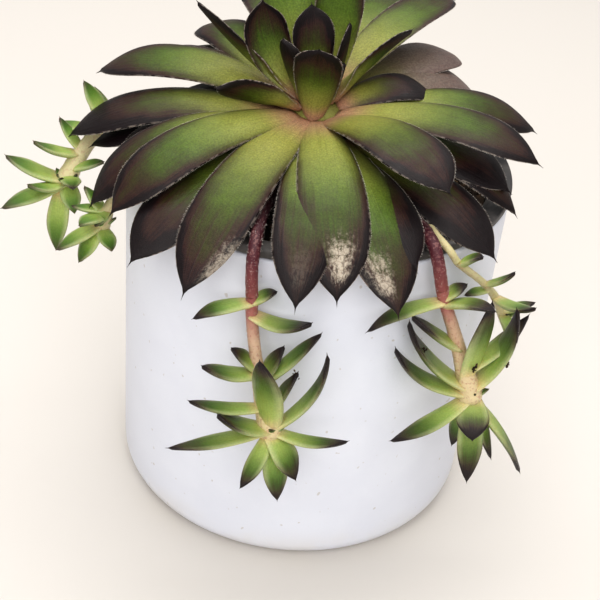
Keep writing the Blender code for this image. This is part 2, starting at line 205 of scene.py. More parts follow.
white_glaze, tree, shader = new_finish("white_glaze", {
    "Specular IOR Level": 0.5, "Coat Weight": 0.12, "Coat Roughness": 0.35,
})
height, mottle = grain(tree, 900.0)
where = object_place(tree)
level = add_node(tree, "ShaderNodeSeparateXYZ", {"Vector": where}).outputs["Z"]
# Towards the foot the glaze turns a darker, mottled beige, most at the very bottom.
foot_tint = maths(tree, "MULTIPLY", spread(tree, level, FOOT_TINT_HEIGHT, 0.0),
              spread(tree, mottle, 0.35, 0.65, 0.1, 0.5))
glaze = mix_colour(tree, spread(tree, mottle, 0.3, 0.7), GLAZE_COOL, GLAZE_WHITE)
specks = spread(tree, clouds(tree, where, 420.0, 1.0), 0.73, 0.78)
glaze = mix_colour(tree, maths(tree, "MULTIPLY", specks, 0.5), glaze, SPECK_BROWN)
tree.links.new(mix_colour(tree, foot_tint, glaze, FOOT_TINT_BEIGE), shader.inputs["Base Color"])
tree.links.new(spread(tree, mottle, 0.3, 0.7, 0.40, 0.52), shader.inputs["Roughness"])
raise_bumps(tree, shader, height, 0.06 * MM)
cover_pot.data.materials.append(white_glaze)
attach(cover_pot, "root")
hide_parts("pot")

# The nursery liner is blow-moulded from thin dark grey plastic. It hangs in the pot by its rolled lip
# and has drain holes in its floor.
LIP_BOTTOM = 0.1153
LIP_TOP = 0.1183
LIP_RADIUS = 0.0603
LIP_INNER_RADIUS = 0.0555
LIP_ROUND = 0.0009
LIP_DIP = 0.0012
LINER_WALL = 0.0009
LINER_FLOOR = 1.5 * LINER_WALL
LINER_TOP_RADIUS = 0.0545
LINER_FLOOR_RADIUS = 0.0430
LINER_BOTTOM = 0.014
DRAIN_HOLES = 5
DRAIN_RADIUS = 0.004
DRAIN_RING_RADIUS = 0.028
DRILL_SIDES = 24
DRILL_LENGTH = 0.01
PLASTIC_GREY = (0.040, 0.038, 0.039)
DUST_GREY = (0.085, 0.078, 0.074)

bpy.ops.object.select_all(action="DESELECT")
bpy.ops.mesh.primitive_cylinder_add(
    vertices=POT_SIDES, radius=LINER_FLOOR_RADIUS, depth=LIP_BOTTOM - LINER_BOTTOM,
    location=(0, 0, (LIP_BOTTOM + LINER_BOTTOM) / 2))
nursery_liner = bpy.context.object
nursery_liner.name = "nursery_liner"
half_depth = (LIP_BOTTOM - LINER_BOTTOM) / 2
edit(nursery_liner)
pick(nursery_liner, "faces", lambda middle, normal: normal.z > UPRIGHT)
widen = LINER_TOP_RADIUS / LINER_FLOOR_RADIUS
bpy.ops.transform.resize(value=(widen, widen, 1))
# The lip starts a hair above the wall's top, so that its underside lies flat.
flare = LIP_RADIUS / LINER_TOP_RADIUS
bpy.ops.mesh.extrude_region_move(TRANSFORM_OT_translate={"value": (0, 0, 0.02 * MM)})
bpy.ops.transform.resize(value=(flare, flare, 1))
bpy.ops.mesh.extrude_region_move(TRANSFORM_OT_translate={"value": (0, 0, LIP_TOP - LIP_BOTTOM)})
bpy.ops.mesh.inset(thickness=LIP_RADIUS - LIP_INNER_RADIUS)
bpy.ops.mesh.inset(thickness=LIP_INNER_RADIUS - LINER_TOP_RADIUS + LINER_WALL)
bpy.ops.transform.translate(value=(0, 0, -LIP_DIP))
bpy.ops.mesh.extrude_region_move(
    TRANSFORM_OT_translate={"value": (0, 0, LINER_BOTTOM + LINER_FLOOR - LIP_TOP + LIP_DIP)})
narrow = (LINER_FLOOR_RADIUS - LINER_WALL) / (LINER_TOP_RADIUS - LINER_WALL)
bpy.ops.transform.resize(value=(narrow, narrow, 1))
pick(nursery_liner, "edges", lambda middle, way: abs(way.z) < LEVEL and middle.z > half_depth - 0.1 * MM
     and middle.xy.length > LIP_INNER_RADIUS - MM)
bpy.ops.mesh.bevel(offset=LIP_ROUND, segments=4, affect="EDGES")
close_edit()
for k in range(DRAIN_HOLES):
    angle = 2 * math.pi * k / DRAIN_HOLES
    bpy.ops.object.select_all(action="DESELECT")
    bpy.ops.mesh.primitive_cylinder_add(
        vertices=DRILL_SIDES, radius=DRAIN_RADIUS, depth=DRILL_LENGTH,
        location=(DRAIN_RING_RADIUS * math.cos(angle), DRAIN_RING_RADIUS * math.sin(angle), LINER_BOTTOM))
    drill = bpy.context.object
    hole = nursery_liner.modifiers.new("Drain", "BOOLEAN")
    hole.operation = "DIFFERENCE"
    hole.object = drill
    bpy.context.view_layer.objects.active = nursery_liner
    bpy.ops.object.modifier_apply(modifier=hole.name)
    bpy.data.objects.remove(drill)

grey_plastic, tree, shader = new_finish("grey_plastic", {"Specular IOR Level": 0.45})
height, mottle = grain(tree, 1500.0)
dusty = mix_colour(tree, spread(tree, mottle, 0.42, 0.62), PLASTIC_GREY, DUST_GREY)
tree.links.new(dusty, shader.inputs["Base Color"])
tree.links.new(spread(tree, mottle, 0.35, 0.65, 0.38, 0.62), shader.inputs["Roughness"])
raise_bumps(tree, shader, height, 0.08 * MM)
nursery_liner.data.materials.append(grey_plastic)
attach(nursery_liner, "root")
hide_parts("liner")

# The peat is what the plant grows in: dark, damp, crumbly, with a few straw-coloured fibres, pressed
# into the liner to a little below its lip.
PEAT_TOP = 0.1115
PEAT_GAP = 0.0003
PEAT_SIDES = 96
PEAT_STEPS = 24
# Broad lumps and a finer crumble on top of them: how high they are, and how many there are to the metre.
PEAT_LUMPS, LUMPS_PER_METRE = 0.0016, 180
CRUMBLE, CRUMBLE_PER_METRE = 0.0006, 700
# Loose crumbs and fibres lie this far inside the peat's edge. Each has a least size, and up to so much
# more by chance.
LOOSE_RIM = 0.0012
PEAT_CRUMBS = 1500
CRUMB_LEAST, CRUMB_MORE = 0.00025, 0.0011
PEAT_FIBRES = 160
FIBRE_LEAST, FIBRE_MORE = 0.0012, 0.002
FIBRE_WIDTH, FIBRE_DEPTH, FIBRE_LIFT = 0.00012, 0.00010, 0.0006
peat_dice = random.Random(7)
slope = (LINER_TOP_RADIUS - LINER_FLOOR_RADIUS) / (POT_HEIGHT - LINER_BOTTOM)
peat_low = LINER_BOTTOM + LINER_FLOOR + PEAT_GAP
peat_low_radius = LINER_FLOOR_RADIUS - LINER_WALL - 2 * PEAT_GAP + slope * (peat_low - LINER_BOTTOM)
peat_top_radius = LINER_FLOOR_RADIUS - LINER_WALL - 2 * PEAT_GAP + slope * (PEAT_TOP - LINER_BOTTOM)

bpy.ops.object.select_all(action="DESELECT")
bpy.ops.mesh.primitive_cylinder_add(
    vertices=PEAT_SIDES, radius=peat_top_radius, depth=PEAT_TOP - peat_low,
    location=(0, 0, (PEAT_TOP + peat_low) / 2))
peat_fill = bpy.context.object
peat_fill.name = "peat_fill"
edit(peat_fill)
pick(peat_fill, "faces", lambda middle, normal: normal.z < -UPRIGHT)
taper = peat_low_radius / peat_top_radius
bpy.ops.transform.resize(value=(taper, taper, 1))
pick(peat_fill, "faces", lambda middle, normal: normal.z > UPRIGHT)
for step in range(PEAT_STEPS):
    bpy.ops.mesh.inset(thickness=peat_top_radius / (PEAT_STEPS + 1))
bpy.ops.mesh.poke()
close_edit()
for vertex in peat_fill.data.vertices:
    out = vertex.co.xy.length
    if vertex.co.z > PEAT_TOP - MM and out < peat_top_radius - MM:
        flat = Vector((vertex.co.x, vertex.co.y, 0))
        lump = noise.noise(flat * LUMPS_PER_METRE) * PEAT_LUMPS
        vertex.co.z = PEAT_TOP + lump + noise.noise(flat * CRUMBLE_PER_METRE) * CRUMBLE


def crumb_blank():
    """One crumb: a small ball whose corners are pushed about."""
    bpy.ops.object.select_all(action="DESELECT")
    bpy.ops.mesh.primitive_ico_sphere_add(subdivisions=1, radius=1)
    made = bpy.context.object
    edit(made)
    bpy.ops.mesh.select_all(action="SELECT")
    bpy.ops.transform.vertex_random(offset=0.35, seed=3)
    bpy.ops.object.mode_set(mode="OBJECT")
    return made


def scatter(blank, name, places, finish):
    """One object of many copies of a small blank, each under its own matrix."""
    points = np.array([v.co for v in blank.data.vertices])
    faces = np.array([p.vertices[:] for p in blank.data.polygons])
    all_points, all_faces = [], []
    for k, matrix in enumerate(places):
        all_points.append(points @ np.array(matrix.to_3x3()).T + np.array(matrix.translation))
        all_faces.append(faces + k * len(points))
    mesh = bpy.data.meshes.new(name)
    mesh.from_pydata(np.concatenate(all_points).tolist(), [], np.concatenate(all_faces).tolist())
    mesh.materials.append(finish)
    made = bpy.data.objects.new(name, mesh)
    bpy.context.scene.collection.objects.link(made)
    return made


def spin_matrix(dice):
    """A turn in space by chance."""
    return (Matrix.Rotation(dice.uniform(0, 2 * math.pi), 4, "Z")
            @ Matrix.Rotation(dice.uniform(0, math.pi), 4, "X")
            @ Matrix.Rotation(dice.uniform(0, 2 * math.pi), 4, "Z"))


def ramp(tree, value, stops):
    """A colour ramp through (place, colour) stops."""
    made = tree.nodes.new("ShaderNodeValToRGB")
    band = made.color_ramp
    while len(band.elements) < len(stops):
        band.elements.new(0.5)
    for element, (place, colour) in zip(band.elements, stops):
        element.position = place
        element.color = (*colour, 1)
    tree.links.new(value, made.inputs["Fac"])
    return made.outputs["Color"]


damp_peat, tree, shader = new_finish("damp_peat", {"Roughness": 0.92, "Specular IOR Level": 0.3})
height, _ = grain(tree, 1400.0)
tree.links.new(ramp(tree, clouds(tree, object_place(tree), 520.0, 2.0), [
    (0.0, (0.010, 0.007, 0.005)), (0.5, (0.030, 0.019, 0.012)), (0.66, (0.075, 0.042, 0.022)),
    (0.76, (0.22, 0.13, 0.055)),
]), shader.inputs["Base Color"])
raise_bumps(tree, shader, height, 0.4 * MM)
peat_fill.data.materials.append(damp_peat)
crumb = crumb_blank()
crumbs, fibres = [], []
for k in range(PEAT_CRUMBS + PEAT_FIBRES):
    out = (peat_top_radius - LOOSE_RIM) * math.sqrt(peat_dice.uniform(0.03, 1))
    around = peat_dice.uniform(0, 2 * math.pi)
    flat = Vector((out * math.cos(around), out * math.sin(around), 0))
    rest = PEAT_TOP + noise.noise(flat * LUMPS_PER_METRE) * PEAT_LUMPS
    if k < PEAT_CRUMBS:
        size = CRUMB_LEAST + CRUMB_MORE * peat_dice.random() ** 3
        shape = (size, size * peat_dice.uniform(0.6, 1), size * peat_dice.uniform(0.5, 0.9), 1)
        place = Matrix.Translation(flat + Vector((0, 0, rest + size * 0.3)))
        crumbs.append(place @ spin_matrix(peat_dice) @ Matrix.Diagonal(shape))
    else:
        shape = (FIBRE_LEAST + FIBRE_MORE * peat_dice.random(), FIBRE_WIDTH, FIBRE_DEPTH, 1)
        place = Matrix.Translation(flat + Vector((0, 0, rest + FIBRE_LIFT)))
        tip = Matrix.Rotation(peat_dice.uniform(-0.25, 0.25), 4, "Y")
        turn = Matrix.Rotation(peat_dice.uniform(0, 2 * math.pi), 4, "Z")
        fibres.append(place @ turn @ tip @ Matrix.Diagonal(shape))
straw, tree, shader = new_finish("straw", {"Roughness": 0.6})
tree.links.new(ramp(tree, clouds(tree, object_place(tree), 300.0), [
    (0.3, (0.20, 0.10, 0.035)), (0.7, (0.52, 0.36, 0.15)),
]), shader.inputs["Base Color"])
peat_crumbs = scatter(crumb, "peat_crumbs", crumbs, damp_peat)
peat_fibres = scatter(crumb, "peat_fibres", fibres, straw)
for piece in (peat_fill, peat_crumbs, peat_fibres):
    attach(piece, "root")
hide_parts("peat")

# The big rosette is one grown plant. Its short woody trunk stands in the peat, and thick fleshy leaves
# stand round it in rings; each has a keel below, a sharp edge with fine lashes and a black thorn tip.
HEART = Vector((-0.003, 0.003, 0.1345))
LEAN = math.radians(9)
LEAF_SIDES = 20
LEAF_CUTS = 36
BEND_POWER = 1.6
# A leaf's outline: its width at the root as a share of its widest, where along it is widest, and the
# power by which it rounds off to the tip. Then where its thorn starts, the thorn's width and length, and
# where a blunt leaf starts to round off, as shares of the leaf's own.
BIG_OUTLINE = (0.42, 0.66, 2.6)
THORN_FROM, THORN_WIDTH, THORN_LENGTH = 0.968, 0.13, 0.10
BLUNT_FROM = 0.72
# A leaf is thickest at its root. Its crown and its keel are shares of that; the crown sinks at both ends.
ROOT_DEPTH, DEPTH_LOSS = 1.1, 0.6
CROWN_LOW, CROWN_RISE, KEEL = 0.22, 0.50, 0.72
# Edges curl down a little. No two leaves are alike: edges wave by a tenth of a millimetre, and midribs
# sway by a share of their length and twist by some degrees.
EDGE_CURL, EDGE_WAVE = 0.07, 0.10
WAVES, WAVE_START = (7, 11), (0, 6.28)
SWAY = 0.018
TWIST = 7
ROLLED_FROM = 0.35
MIDRIB_STEPS = 240
# Each ring: how far out and how high its leaves root, their thickness and how much their edges rise,
# in millimetres, then its leaves as turn, rise, droop, length, width and, where one lies on its side,
# roll, in degrees and millimetres.
LEAF_RINGS = (
    (5.2, -2.6, 2.4, 0.30, ((-95, 81, 5, 28.5, 14.5),)),
    (3.8, -0.5, 2.2, 0.30, (
        (112, 75, 4, 29, 13), (178, 67, -6, 23, 10, 45), (148, 76, 10, 16.5, 8), (36, 71, -19, 27, 8, -50),
        (12, 76, 0, 15, 7),
    )),
    (5.5, -0.5, 2.4, 0.22, (
        (155, 40, -58, 34, 14, -35), (119, 52, 9, 44, 19), (70, 72, -10, 43, 15), (54, 22, 42, 69, 16),
        (208, 26, 7, 31, 11, 65), (32, 42, 17, 33, 11, -55), (162, 28, -14, 43, 11, 50),
    )),
    (7, -3, 3, 0.05, (
        (165, 15, 57, 71, 19), (223, 18, 67, 73, 18), (248, 14, 62, 81, 19), (279, 16, 60, 76, 20),
        (310, 30, 53, 59, 21), (339, 25, 53, 68, 18), (24, 22, 60, 34, 15), (68, 26, 58, 66, 19),
        (112, 22, 56, 68, 19),
    )),
    (8.5, -6.5, 2.8, 0, (
        (212, 20, 84, 74, 20), (184, 11, 60, 74, 19), (271, 18, 56, 78, 17), (291, 17, 60, 79, 20),
        (337, 20, 55, 60, 18), (13, 15, 57, 69, 18), (33, 18, 67, 57, 19), (46, 17, 48, 58, 19),
        (88, 16, 58, 67, 19), (128, 14, 56, 67, 19), (151, 12, 54, 66, 18),
    )),
    (9.5, -10.5, 2.6, -0.05, (
        (186, 10, 52, 64, 17), (197, 15, 50, 55, 16), (234, 17, 56, 75, 20), (297, 23, 52, 67, 16),
        (318, 18, 54, 69, 19), (124, 10, 40, 67, 18), (137, 10, 46, 62, 18), (335, 27, 80, 66, 15),
        (62, 14, 60, 66, 18), (102, 13, 58, 66, 18),
    )),
)
# By ring and turn: leaves with a rubbed, glossy pale patch near the tip, whose pale colour is partly worn
# skin and partly a painted highlight, as how strong it is and how far to the side it lies, and leaves
# whose tip has grown blunt.
RUB_GLINT_LEAVES = {(7, 248): (0.60, 0.95), (7, 279): (1.0, 0.15), (8.5, 291): (0.85, -0.35), (8.5, 271): (0.10, 0.0)}
BLUNT = ((8.5, 33), (8.5, 46))
# How much sooner the dark end starts in the leaves of a ring, and how much later in single leaves.
RING_DARK = {5.2: 0.14, 3.8: 0.14, 5.5: 0.04, 9.5: 0.06}
LIGHT = {(5.5, 119): 0.25, (5.5, 70): 0.18, (5.5, 54): 0.12, (5.2, -95): 0.12, (7, 24): -0.25,
         (8.5, 184): -0.16, (9.5, 186): -0.20, (9.5, 197): -0.20, (8.5, 212): -0.08, (8.5, 151): -0.10,
         (9.5, 234): -0.06, (9.5, 297): -0.10, (9.5, 318): -0.10, (8.5, 337): -0.08}
# The lashes, in millimetres; the rings of the heart, rooted nearer than this, have shorter ones.
LASH_LENGTH, HEART_LASH_LENGTH, HEART_REACH = 0.55, 0.35, 6
LASH_SPACING = 0.55
LASH_RADIUS = 0.055
# Lashes and hairs differ by chance: in place as a share of their spacing, in how far they lean towards
# the tip, in how far they stray to any side, and in length.
LASH_SHIFT = 0.3
LASH_LEANS, LASH_STRAY, LASH_LENGTHS = (0.3, 0.8), 0.25, (0.6, 1.1)
DARK_CHANCE = (-0.05, 0.05)
# The trunk's outline from its foot in the peat to its domed top, in millimetres.
TRUNK_SIDES = 28
TRUNK_CUTS = 30
TRUNK_HEIGHTS = (-41.0, -16.5, -13.5, -8.5, -5.4, -2.8, -0.8, 0.6)
TRUNK_RADII = (8.0, 8.0, 11.2, 11.8, 10.6, 7.6, 4.4, 0.6)
BARK_ROUGH = 0.05
RUB_GLINT_CRAZE, RUB_GLINT_PALE = (0.20, 0.155, 0.115), (0.46, 0.40, 0.32)
TAUPE_DARK, TAUPE_LIGHT = (0.115, 0.078, 0.068), (0.19, 0.138, 0.12)
FRESH_BARK = (0.20, 0.20, 0.045)


def leaf_blank(sides, cuts):
    """A closed sleeve one unit long and one in radius, from which each leaf is bent."""
    bpy.ops.object.select_all(action="DESELECT")
    bpy.ops.mesh.primitive_cylinder_add(vertices=sides, radius=1, depth=1, end_fill_type="TRIFAN")
    made = bpy.context.object
    edit(made)
    pick(made, "edges", lambda middle, way: abs(way.z) > UPRIGHT)
    bpy.ops.mesh.subdivide(number_cuts=cuts)
    bpy.ops.object.mode_set(mode="OBJECT")
    made.data.shade_smooth()
    return made


def blank_coordinates(blank):
    """Along from 0 to 1, across from -1 to 1 and height from -1 to 1 of each vertex of a blank."""
    points = np.array([v.co for v in blank.data.vertices])
    return points[:, 2] + 0.5, points[:, 0], points[:, 1]


def draw_map(made, across, along):
    """Gives the piece its own map: across from 0 to 1, and along from 0 to 1."""
    corner = np.empty(len(made.data.loops), np.int32)
    made.data.loops.foreach_get("vertex_index", corner)
    layer = made.data.uv_layers.new(name="leaf_map")
    layer.data.foreach_set("uv", np.stack([across[corner] / 2 + 0.5, along[corner]], 1).ravel())


def midrib(along, rise, droop, length, power):
    """Distance out and up of the midrib, and its slope in radians, at each place along a leaf."""
    fine = np.linspace(0, 1, MIDRIB_STEPS + 1)
    slopes = np.radians(rise - droop * fine ** power)
    step = length / MIDRIB_STEPS
    out = np.concatenate([[0], np.cumsum((np.cos(slopes[1:]) + np.cos(slopes[:-1])) / 2 * step)])
    up = np.concatenate([[0], np.cumsum((np.sin(slopes[1:]) + np.sin(slopes[:-1])) / 2 * step)])
    return np.interp(along, fine, out), np.interp(along, fine, up), np.interp(along, fine, slopes)


def width_share(along, outline, blunt):
    """Half-width of a leaf as a share of its widest, with the thorn at its tip or with a blunt tip."""
    root_share, widest_at, tip_power = outline
    rising = root_share + (1 - root_share) * np.sin(np.pi / 2 * np.minimum(along / widest_at, 1))
    if blunt:
        end = np.clip((along - BLUNT_FROM) / (1 - BLUNT_FROM), 0, 1)
        return rising * np.sqrt(np.clip(1 - end ** 2.4, 0, 1))
    end = np.clip((along - widest_at) / (THORN_FROM - widest_at), 0, 1)
    thorn = THORN_WIDTH * np.clip((1 - along) / THORN_LENGTH, 0, 1) ** 1.3 * (along > 0.8)
    return np.hypot(rising * (1 - end ** tip_power), thorn)


def bend_leaf(blank, name, root, row, thick, edge_rise, power, outline, dice, blunt=False):
    """A copy of the blank, bent to the row's shape; returns it with the two edge lines for its lashes."""
    turn, rise, droop, length, width, *roll = row
    made = blank.copy()
    made.data = blank.data.copy()
    made.name = name
    bpy.context.scene.collection.objects.link(made)
    along, across, side = blank_coordinates(blank)
    # The blank's rings move closer together towards the tip.
    along = 1 - (1 - along) ** 1.25
    out, up, slopes = midrib(along, rise, droop, length, power)
    half = width / 2 * width_share(along, outline, blunt)
    deep = np.minimum(thick * (ROOT_DEPTH - DEPTH_LOSS * along), 1.9 * half + 0.05)
    fall = np.clip(1 - across ** 2, 0, 1) ** 0.75
    top = (CROWN_LOW + CROWN_RISE * np.sin(np.pi * along) ** 0.6) * deep * fall
    below = -KEEL * deep * fall
    curl = EDGE_CURL * (1 - 3 * abs(edge_rise)) * half * np.abs(across) ** 3 * np.sin(np.pi * along)
    wave = np.sin(along * dice.uniform(*WAVES) + dice.uniform(*WAVE_START))
    lift = edge_rise * half * across ** 2 - curl + EDGE_WAVE * wave * np.abs(across) ** 3
    z = lift + np.where(side > 0, top, below)
    x = half * across + (dice.uniform(-SWAY, SWAY) * length) * along ** 2
    over = math.radians(sum(roll)) * np.minimum(1, along / ROLLED_FROM)
    over = over + math.radians(dice.uniform(-TWIST, TWIST)) * along
    x, z = x * np.cos(over) - z * np.sin(over), x * np.sin(over) + z * np.cos(over)
    around = math.radians(turn)
    outward = np.array([math.cos(around), math.sin(around), 0])
    sideways = np.array([-math.sin(around), math.cos(around), 0])
    upward = np.array([0, 0, 1.0])
    normal = upward * np.cos(slopes)[:, None] - outward * np.sin(slopes)[:, None]
    points = (np.array(root) + outward * out[:, None] + upward * up[:, None]
              + sideways * x[:, None] + normal * z[:, None])
    made.data.vertices.foreach_set("co", points.ravel())
    draw_map(made, across, along)
    edges = []
    for sign in (1, -1):
        rim = np.flatnonzero(across * sign > 0.999)
        rim = rim[np.argsort(along[rim])]
        edges.append((points[rim], sideways * sign, along[rim]))
    return made, edges


def tag_leaf(made, values):
    """Writes the leaf's own values, the same all over it, for its skin to read."""
    for name, value in values.items():
        layer = made.data.attributes.new(name, "FLOAT", "POINT")
        layer.data.foreach_set("value", np.full(len(made.data.vertices), value, np.float32))


def move_points(made, where_to):
    """Moves each point of a piece to where the function sends it."""
    points = np.empty(len(made.data.vertices) * 3)
    made.data.vertices.foreach_get("co", points)
    made.data.vertices.foreach_set("co", where_to(points.reshape(-1, 3)).ravel())


def join(pieces, name, finish):
    """Joins the pieces to one object."""
    bpy.ops.object.select_all(action="DESELECT")
    for piece in pieces:
        piece.data.materials.clear()
        piece.data.materials.append(finish)
        piece.select_set(True)
    bpy.context.view_layer.objects.active = pieces[0]
    bpy.ops.object.join()
    pieces[0].name = name
    return pieces[0]


def stray(dice, reach):
    """A step by chance, of up to this reach along each axis."""
    return Vector([dice.uniform(-reach, reach) for _ in range(3)])


def aimed(way):
    """The turn that stands a hair along this way."""
    return way.normalized().to_track_quat("Z", "Y").to_matrix().to_4x4()


def edge_point(points, run, at):
    """The point that lies this far along an edge line."""
    return Vector([np.interp(at, run, points[:, k]) for k in range(3)])


def lashes(edges, dice, length, spacing, start, stop):
    """Fine hairs along a leaf's edges, from one place along it to another: root, turn and length."""
    hairs = []
    for points, outward, along in edges:
        steps = np.linalg.norm(np.diff(points, axis=0), axis=1)
        run = np.concatenate([[0], np.cumsum(steps)])
        for at in np.arange(spacing / 2, run[-1], spacing):
            at = at + dice.uniform(-LASH_SHIFT, LASH_SHIFT) * spacing
            if not start < np.interp(at, run, along) < stop:
                continue
            root = edge_point(points, run, at)
            ahead = edge_point(points, run, at + 0.5) - root
            if ahead.length < 1e-6:
                continue
            aim = Vector(outward) + ahead.normalized() * dice.uniform(*LASH_LEANS) + stray(dice, LASH_STRAY)
            hairs.append((root, aimed(aim), length * dice.uniform(*LASH_LENGTHS)))
    return hairs


def hair_blank():
    """A hair one unit long: a slim three-sided cone."""
    bpy.ops.object.select_all(action="DESELECT")
    bpy.ops.mesh.primitive_cone_add(vertices=3, radius1=1, radius2=0, depth=1, location=(0, 0, 0.45))
    bpy.ops.object.transform_apply(location=True)
    return bpy.context.object


def leaf_axes(tree):
    """Places on a leaf's or a stem's own map: across it and along it, each from 0 to 1."""
    leaf_map = add_node(tree, "ShaderNodeUVMap", uv_map="leaf_map").outputs["UV"]
    axes = add_node(tree, "ShaderNodeSeparateXYZ", {"Vector": leaf_map})
    return axes.outputs["X"], axes.outputs["Y"]


def from_midrib(tree, across):
    """How far a place lies from the midrib, from -1 at one edge to 1 at the other."""
    return maths(tree, "SUBTRACT", maths(tree, "MULTIPLY", across, 2.0), 1.0)


def swing(tree, value, amount):
    """How far the value swings round one half, times the amount."""
    return maths(tree, "MULTIPLY", maths(tree, "SUBTRACT", value, 0.5), amount)


def own_value(tree, name):
    """A value that each leaf carries, as tag_leaf wrote it."""
    return add_node(tree, "ShaderNodeAttribute", attribute_name=name).outputs["Fac"]


def leaf_zones():
    """Colour zones of a leaf, from its pale root over green to its dark tip, on the leaf's own map."""
    group = bpy.data.node_groups.new("leaf_zones", "ShaderNodeTree")
    for names, way, kind in (
            (("Root", "Young", "Middle", "Outer", "Tip"), "INPUT", "NodeSocketColor"),
            (("Dark From", "Edge Dark", "Root Reach"), "INPUT", "NodeSocketFloat"),
            (("Colour",), "OUTPUT", "NodeSocketColor"),
            (("Across", "Streaks", "Shade"), "OUTPUT", "NodeSocketFloat")):
        for name in names:
            group.interface.new_socket(name, in_out=way, socket_type=kind)
    given = group.nodes.new("NodeGroupInput").outputs
    across, along = leaf_axes(group)
    off_rib = maths(group, "ABSOLUTE", from_midrib(group, across))
    tone = own_value(group, "tone")
    stretched = add_node(group, "ShaderNodeCombineXYZ", {
        "X": maths(group, "MULTIPLY", across, 26.0),
        "Y": maths(group, "MULTIPLY", along, 2.6),
        "Z": maths(group, "MULTIPLY", tone, 37.0),
    }).outputs["Vector"]
    streaks = clouds(group, stretched, 1.0, 4.0, 0.6)
    blotches = clouds(group, object_place(group), 150.0)
    # How far towards the dark end a place counts, from where it lies, its streak, its leaf and its edge.
    place = maths(group, "ADD", along, swing(group, streaks, 0.32))
    place = maths(group, "ADD", place, swing(group, blotches, 0.26))
    place = maths(group, "ADD", place, own_value(group, "dark"))
    margin = maths(group, "MULTIPLY", maths(group, "POWER", off_rib, 3.0), given["Edge Dark"])
    place = maths(group, "ADD", place, margin)
    start = given["Dark From"]
    near_root = maths(group, "DIVIDE", along, given["Root Reach"])
    colour = mix_colour(group, spread(group, near_root, 0.02, 0.17), given["Root"], given["Young"])
    colour = mix_colour(group, spread(group, near_root, 0.16, 0.45), colour, given["Middle"])
    deeper = spread(group, maths(group, "SUBTRACT", place, start), -0.55, 0.05, 1.0, 0.45)
    colour = add_node(group, "ShaderNodeHueSaturation", {"Color": colour, "Value": deeper}).outputs["Color"]
    shade = spread(group, place, maths(group, "SUBTRACT", start, 0.22), maths(group, "ADD", start, 0.18))
    colour = mix_colour(group, shade, colour, given["Outer"])
    colour = mix_colour(group, spread(group, place, 0.86, 1.0), colour, given["Tip"])
    colour = add_node(group, "ShaderNodeHueSaturation", {
        "Color": colour, "Value": spread(group, streaks, 0.3, 0.7, 0.86, 1.12, smooth=False),
        "Hue": spread(group, tone, 0, 1, 0.492, 0.508, smooth=False),
    }).outputs["Color"]
    leave = group.nodes.new("NodeGroupOutput")
    for name, value in (("Colour", colour), ("Across", off_rib), ("Streaks", streaks), ("Shade", shade)):
        group.links.new(value, leave.inputs[name])
    return group


LEAF_ZONES = leaf_zones()


def leaf_skin(name, colours, sockets, dark_from, edge_dark, root_reach, rim_colour, rim_from, rim_share,
              rim_fade):
    """A leaf's skin: its colour zones, a pale rim and freckles; the rim fades as far as the leaf is dark."""
    finish, tree, shader = new_finish(name, sockets)
    zones = add_node(tree, "ShaderNodeGroup", node_tree=LEAF_ZONES)
    for socket, colour in zip(("Root", "Young", "Middle", "Outer", "Tip"), colours):
        feed(tree, zones.inputs[socket], colour)
    for socket, value in (("Dark From", dark_from), ("Edge Dark", edge_dark), ("Root Reach", root_reach)):
        feed(tree, zones.inputs[socket], value)
    height, mottle = grain(tree, 2600.0)
    where = object_place(tree)
    broken = spread(tree, clouds(tree, where, 700.0, 1.0), 0.40 - 0.4 * rim_fade, 0.58 - 0.2 * rim_fade)
    rim = spread(tree, zones.outputs["Across"], rim_from, 1.0, 0, rim_share)
    left = maths(tree, "SUBTRACT", 1.0, maths(tree, "MULTIPLY", zones.outputs["Shade"], rim_fade))
    rim = maths(tree, "MULTIPLY", maths(tree, "MULTIPLY", rim, broken), left)
    skin = mix_colour(tree, rim, zones.outputs["Colour"], rim_colour)
    freckle = spread(tree, clouds(tree, where, 1900.0, 2.0), 0.35, 0.75,
                     0.80 + 0.12 * rim_fade, 1.30 - 0.18 * rim_fade, smooth=False)
    skin = add_node(tree, "ShaderNodeHueSaturation", {"Color": skin, "Value": freckle}).outputs["Color"]
    tree.links.new(skin, shader.inputs["Base Color"])
    tree.links.new(spread(tree, mottle, 0.3, 0.7, 0.38, 0.52), shader.inputs["Roughness"])
    relief = maths(tree, "ADD", maths(tree, "MULTIPLY", height, 0.5),
                   maths(tree, "MULTIPLY", zones.outputs["Streaks"], 0.8))
    raise_bumps(tree, shader, relief, 0.18 * MM)
    return finish


def in_pot_frame(points):
    """Points in millimetres from the rosette's heart, as metres in the pot's frame."""
    lean = np.array(Matrix.Rotation(LEAN, 3, "X"))
    return points * MM @ lean.T + np.array(HEART)


big_leaf = leaf_skin(
    "big_leaf_skin",
    ((0.46, 0.27, 0.17), (0.27, 0.28, 0.065), (0.110, 0.185, 0.018), (0.034, 0.013, 0.011),
     (0.007, 0.003, 0.004)),
    {"Specular IOR Level": 0.28, "Subsurface Weight": 0.04, "Subsurface Scale": 0.0015},
    dark_from=0.74, edge_dark=0.40, root_reach=1.5,
    rim_colour=(0.42, 0.36, 0.31), rim_from=0.94, rim_share=0.60, rim_fade=0.0)
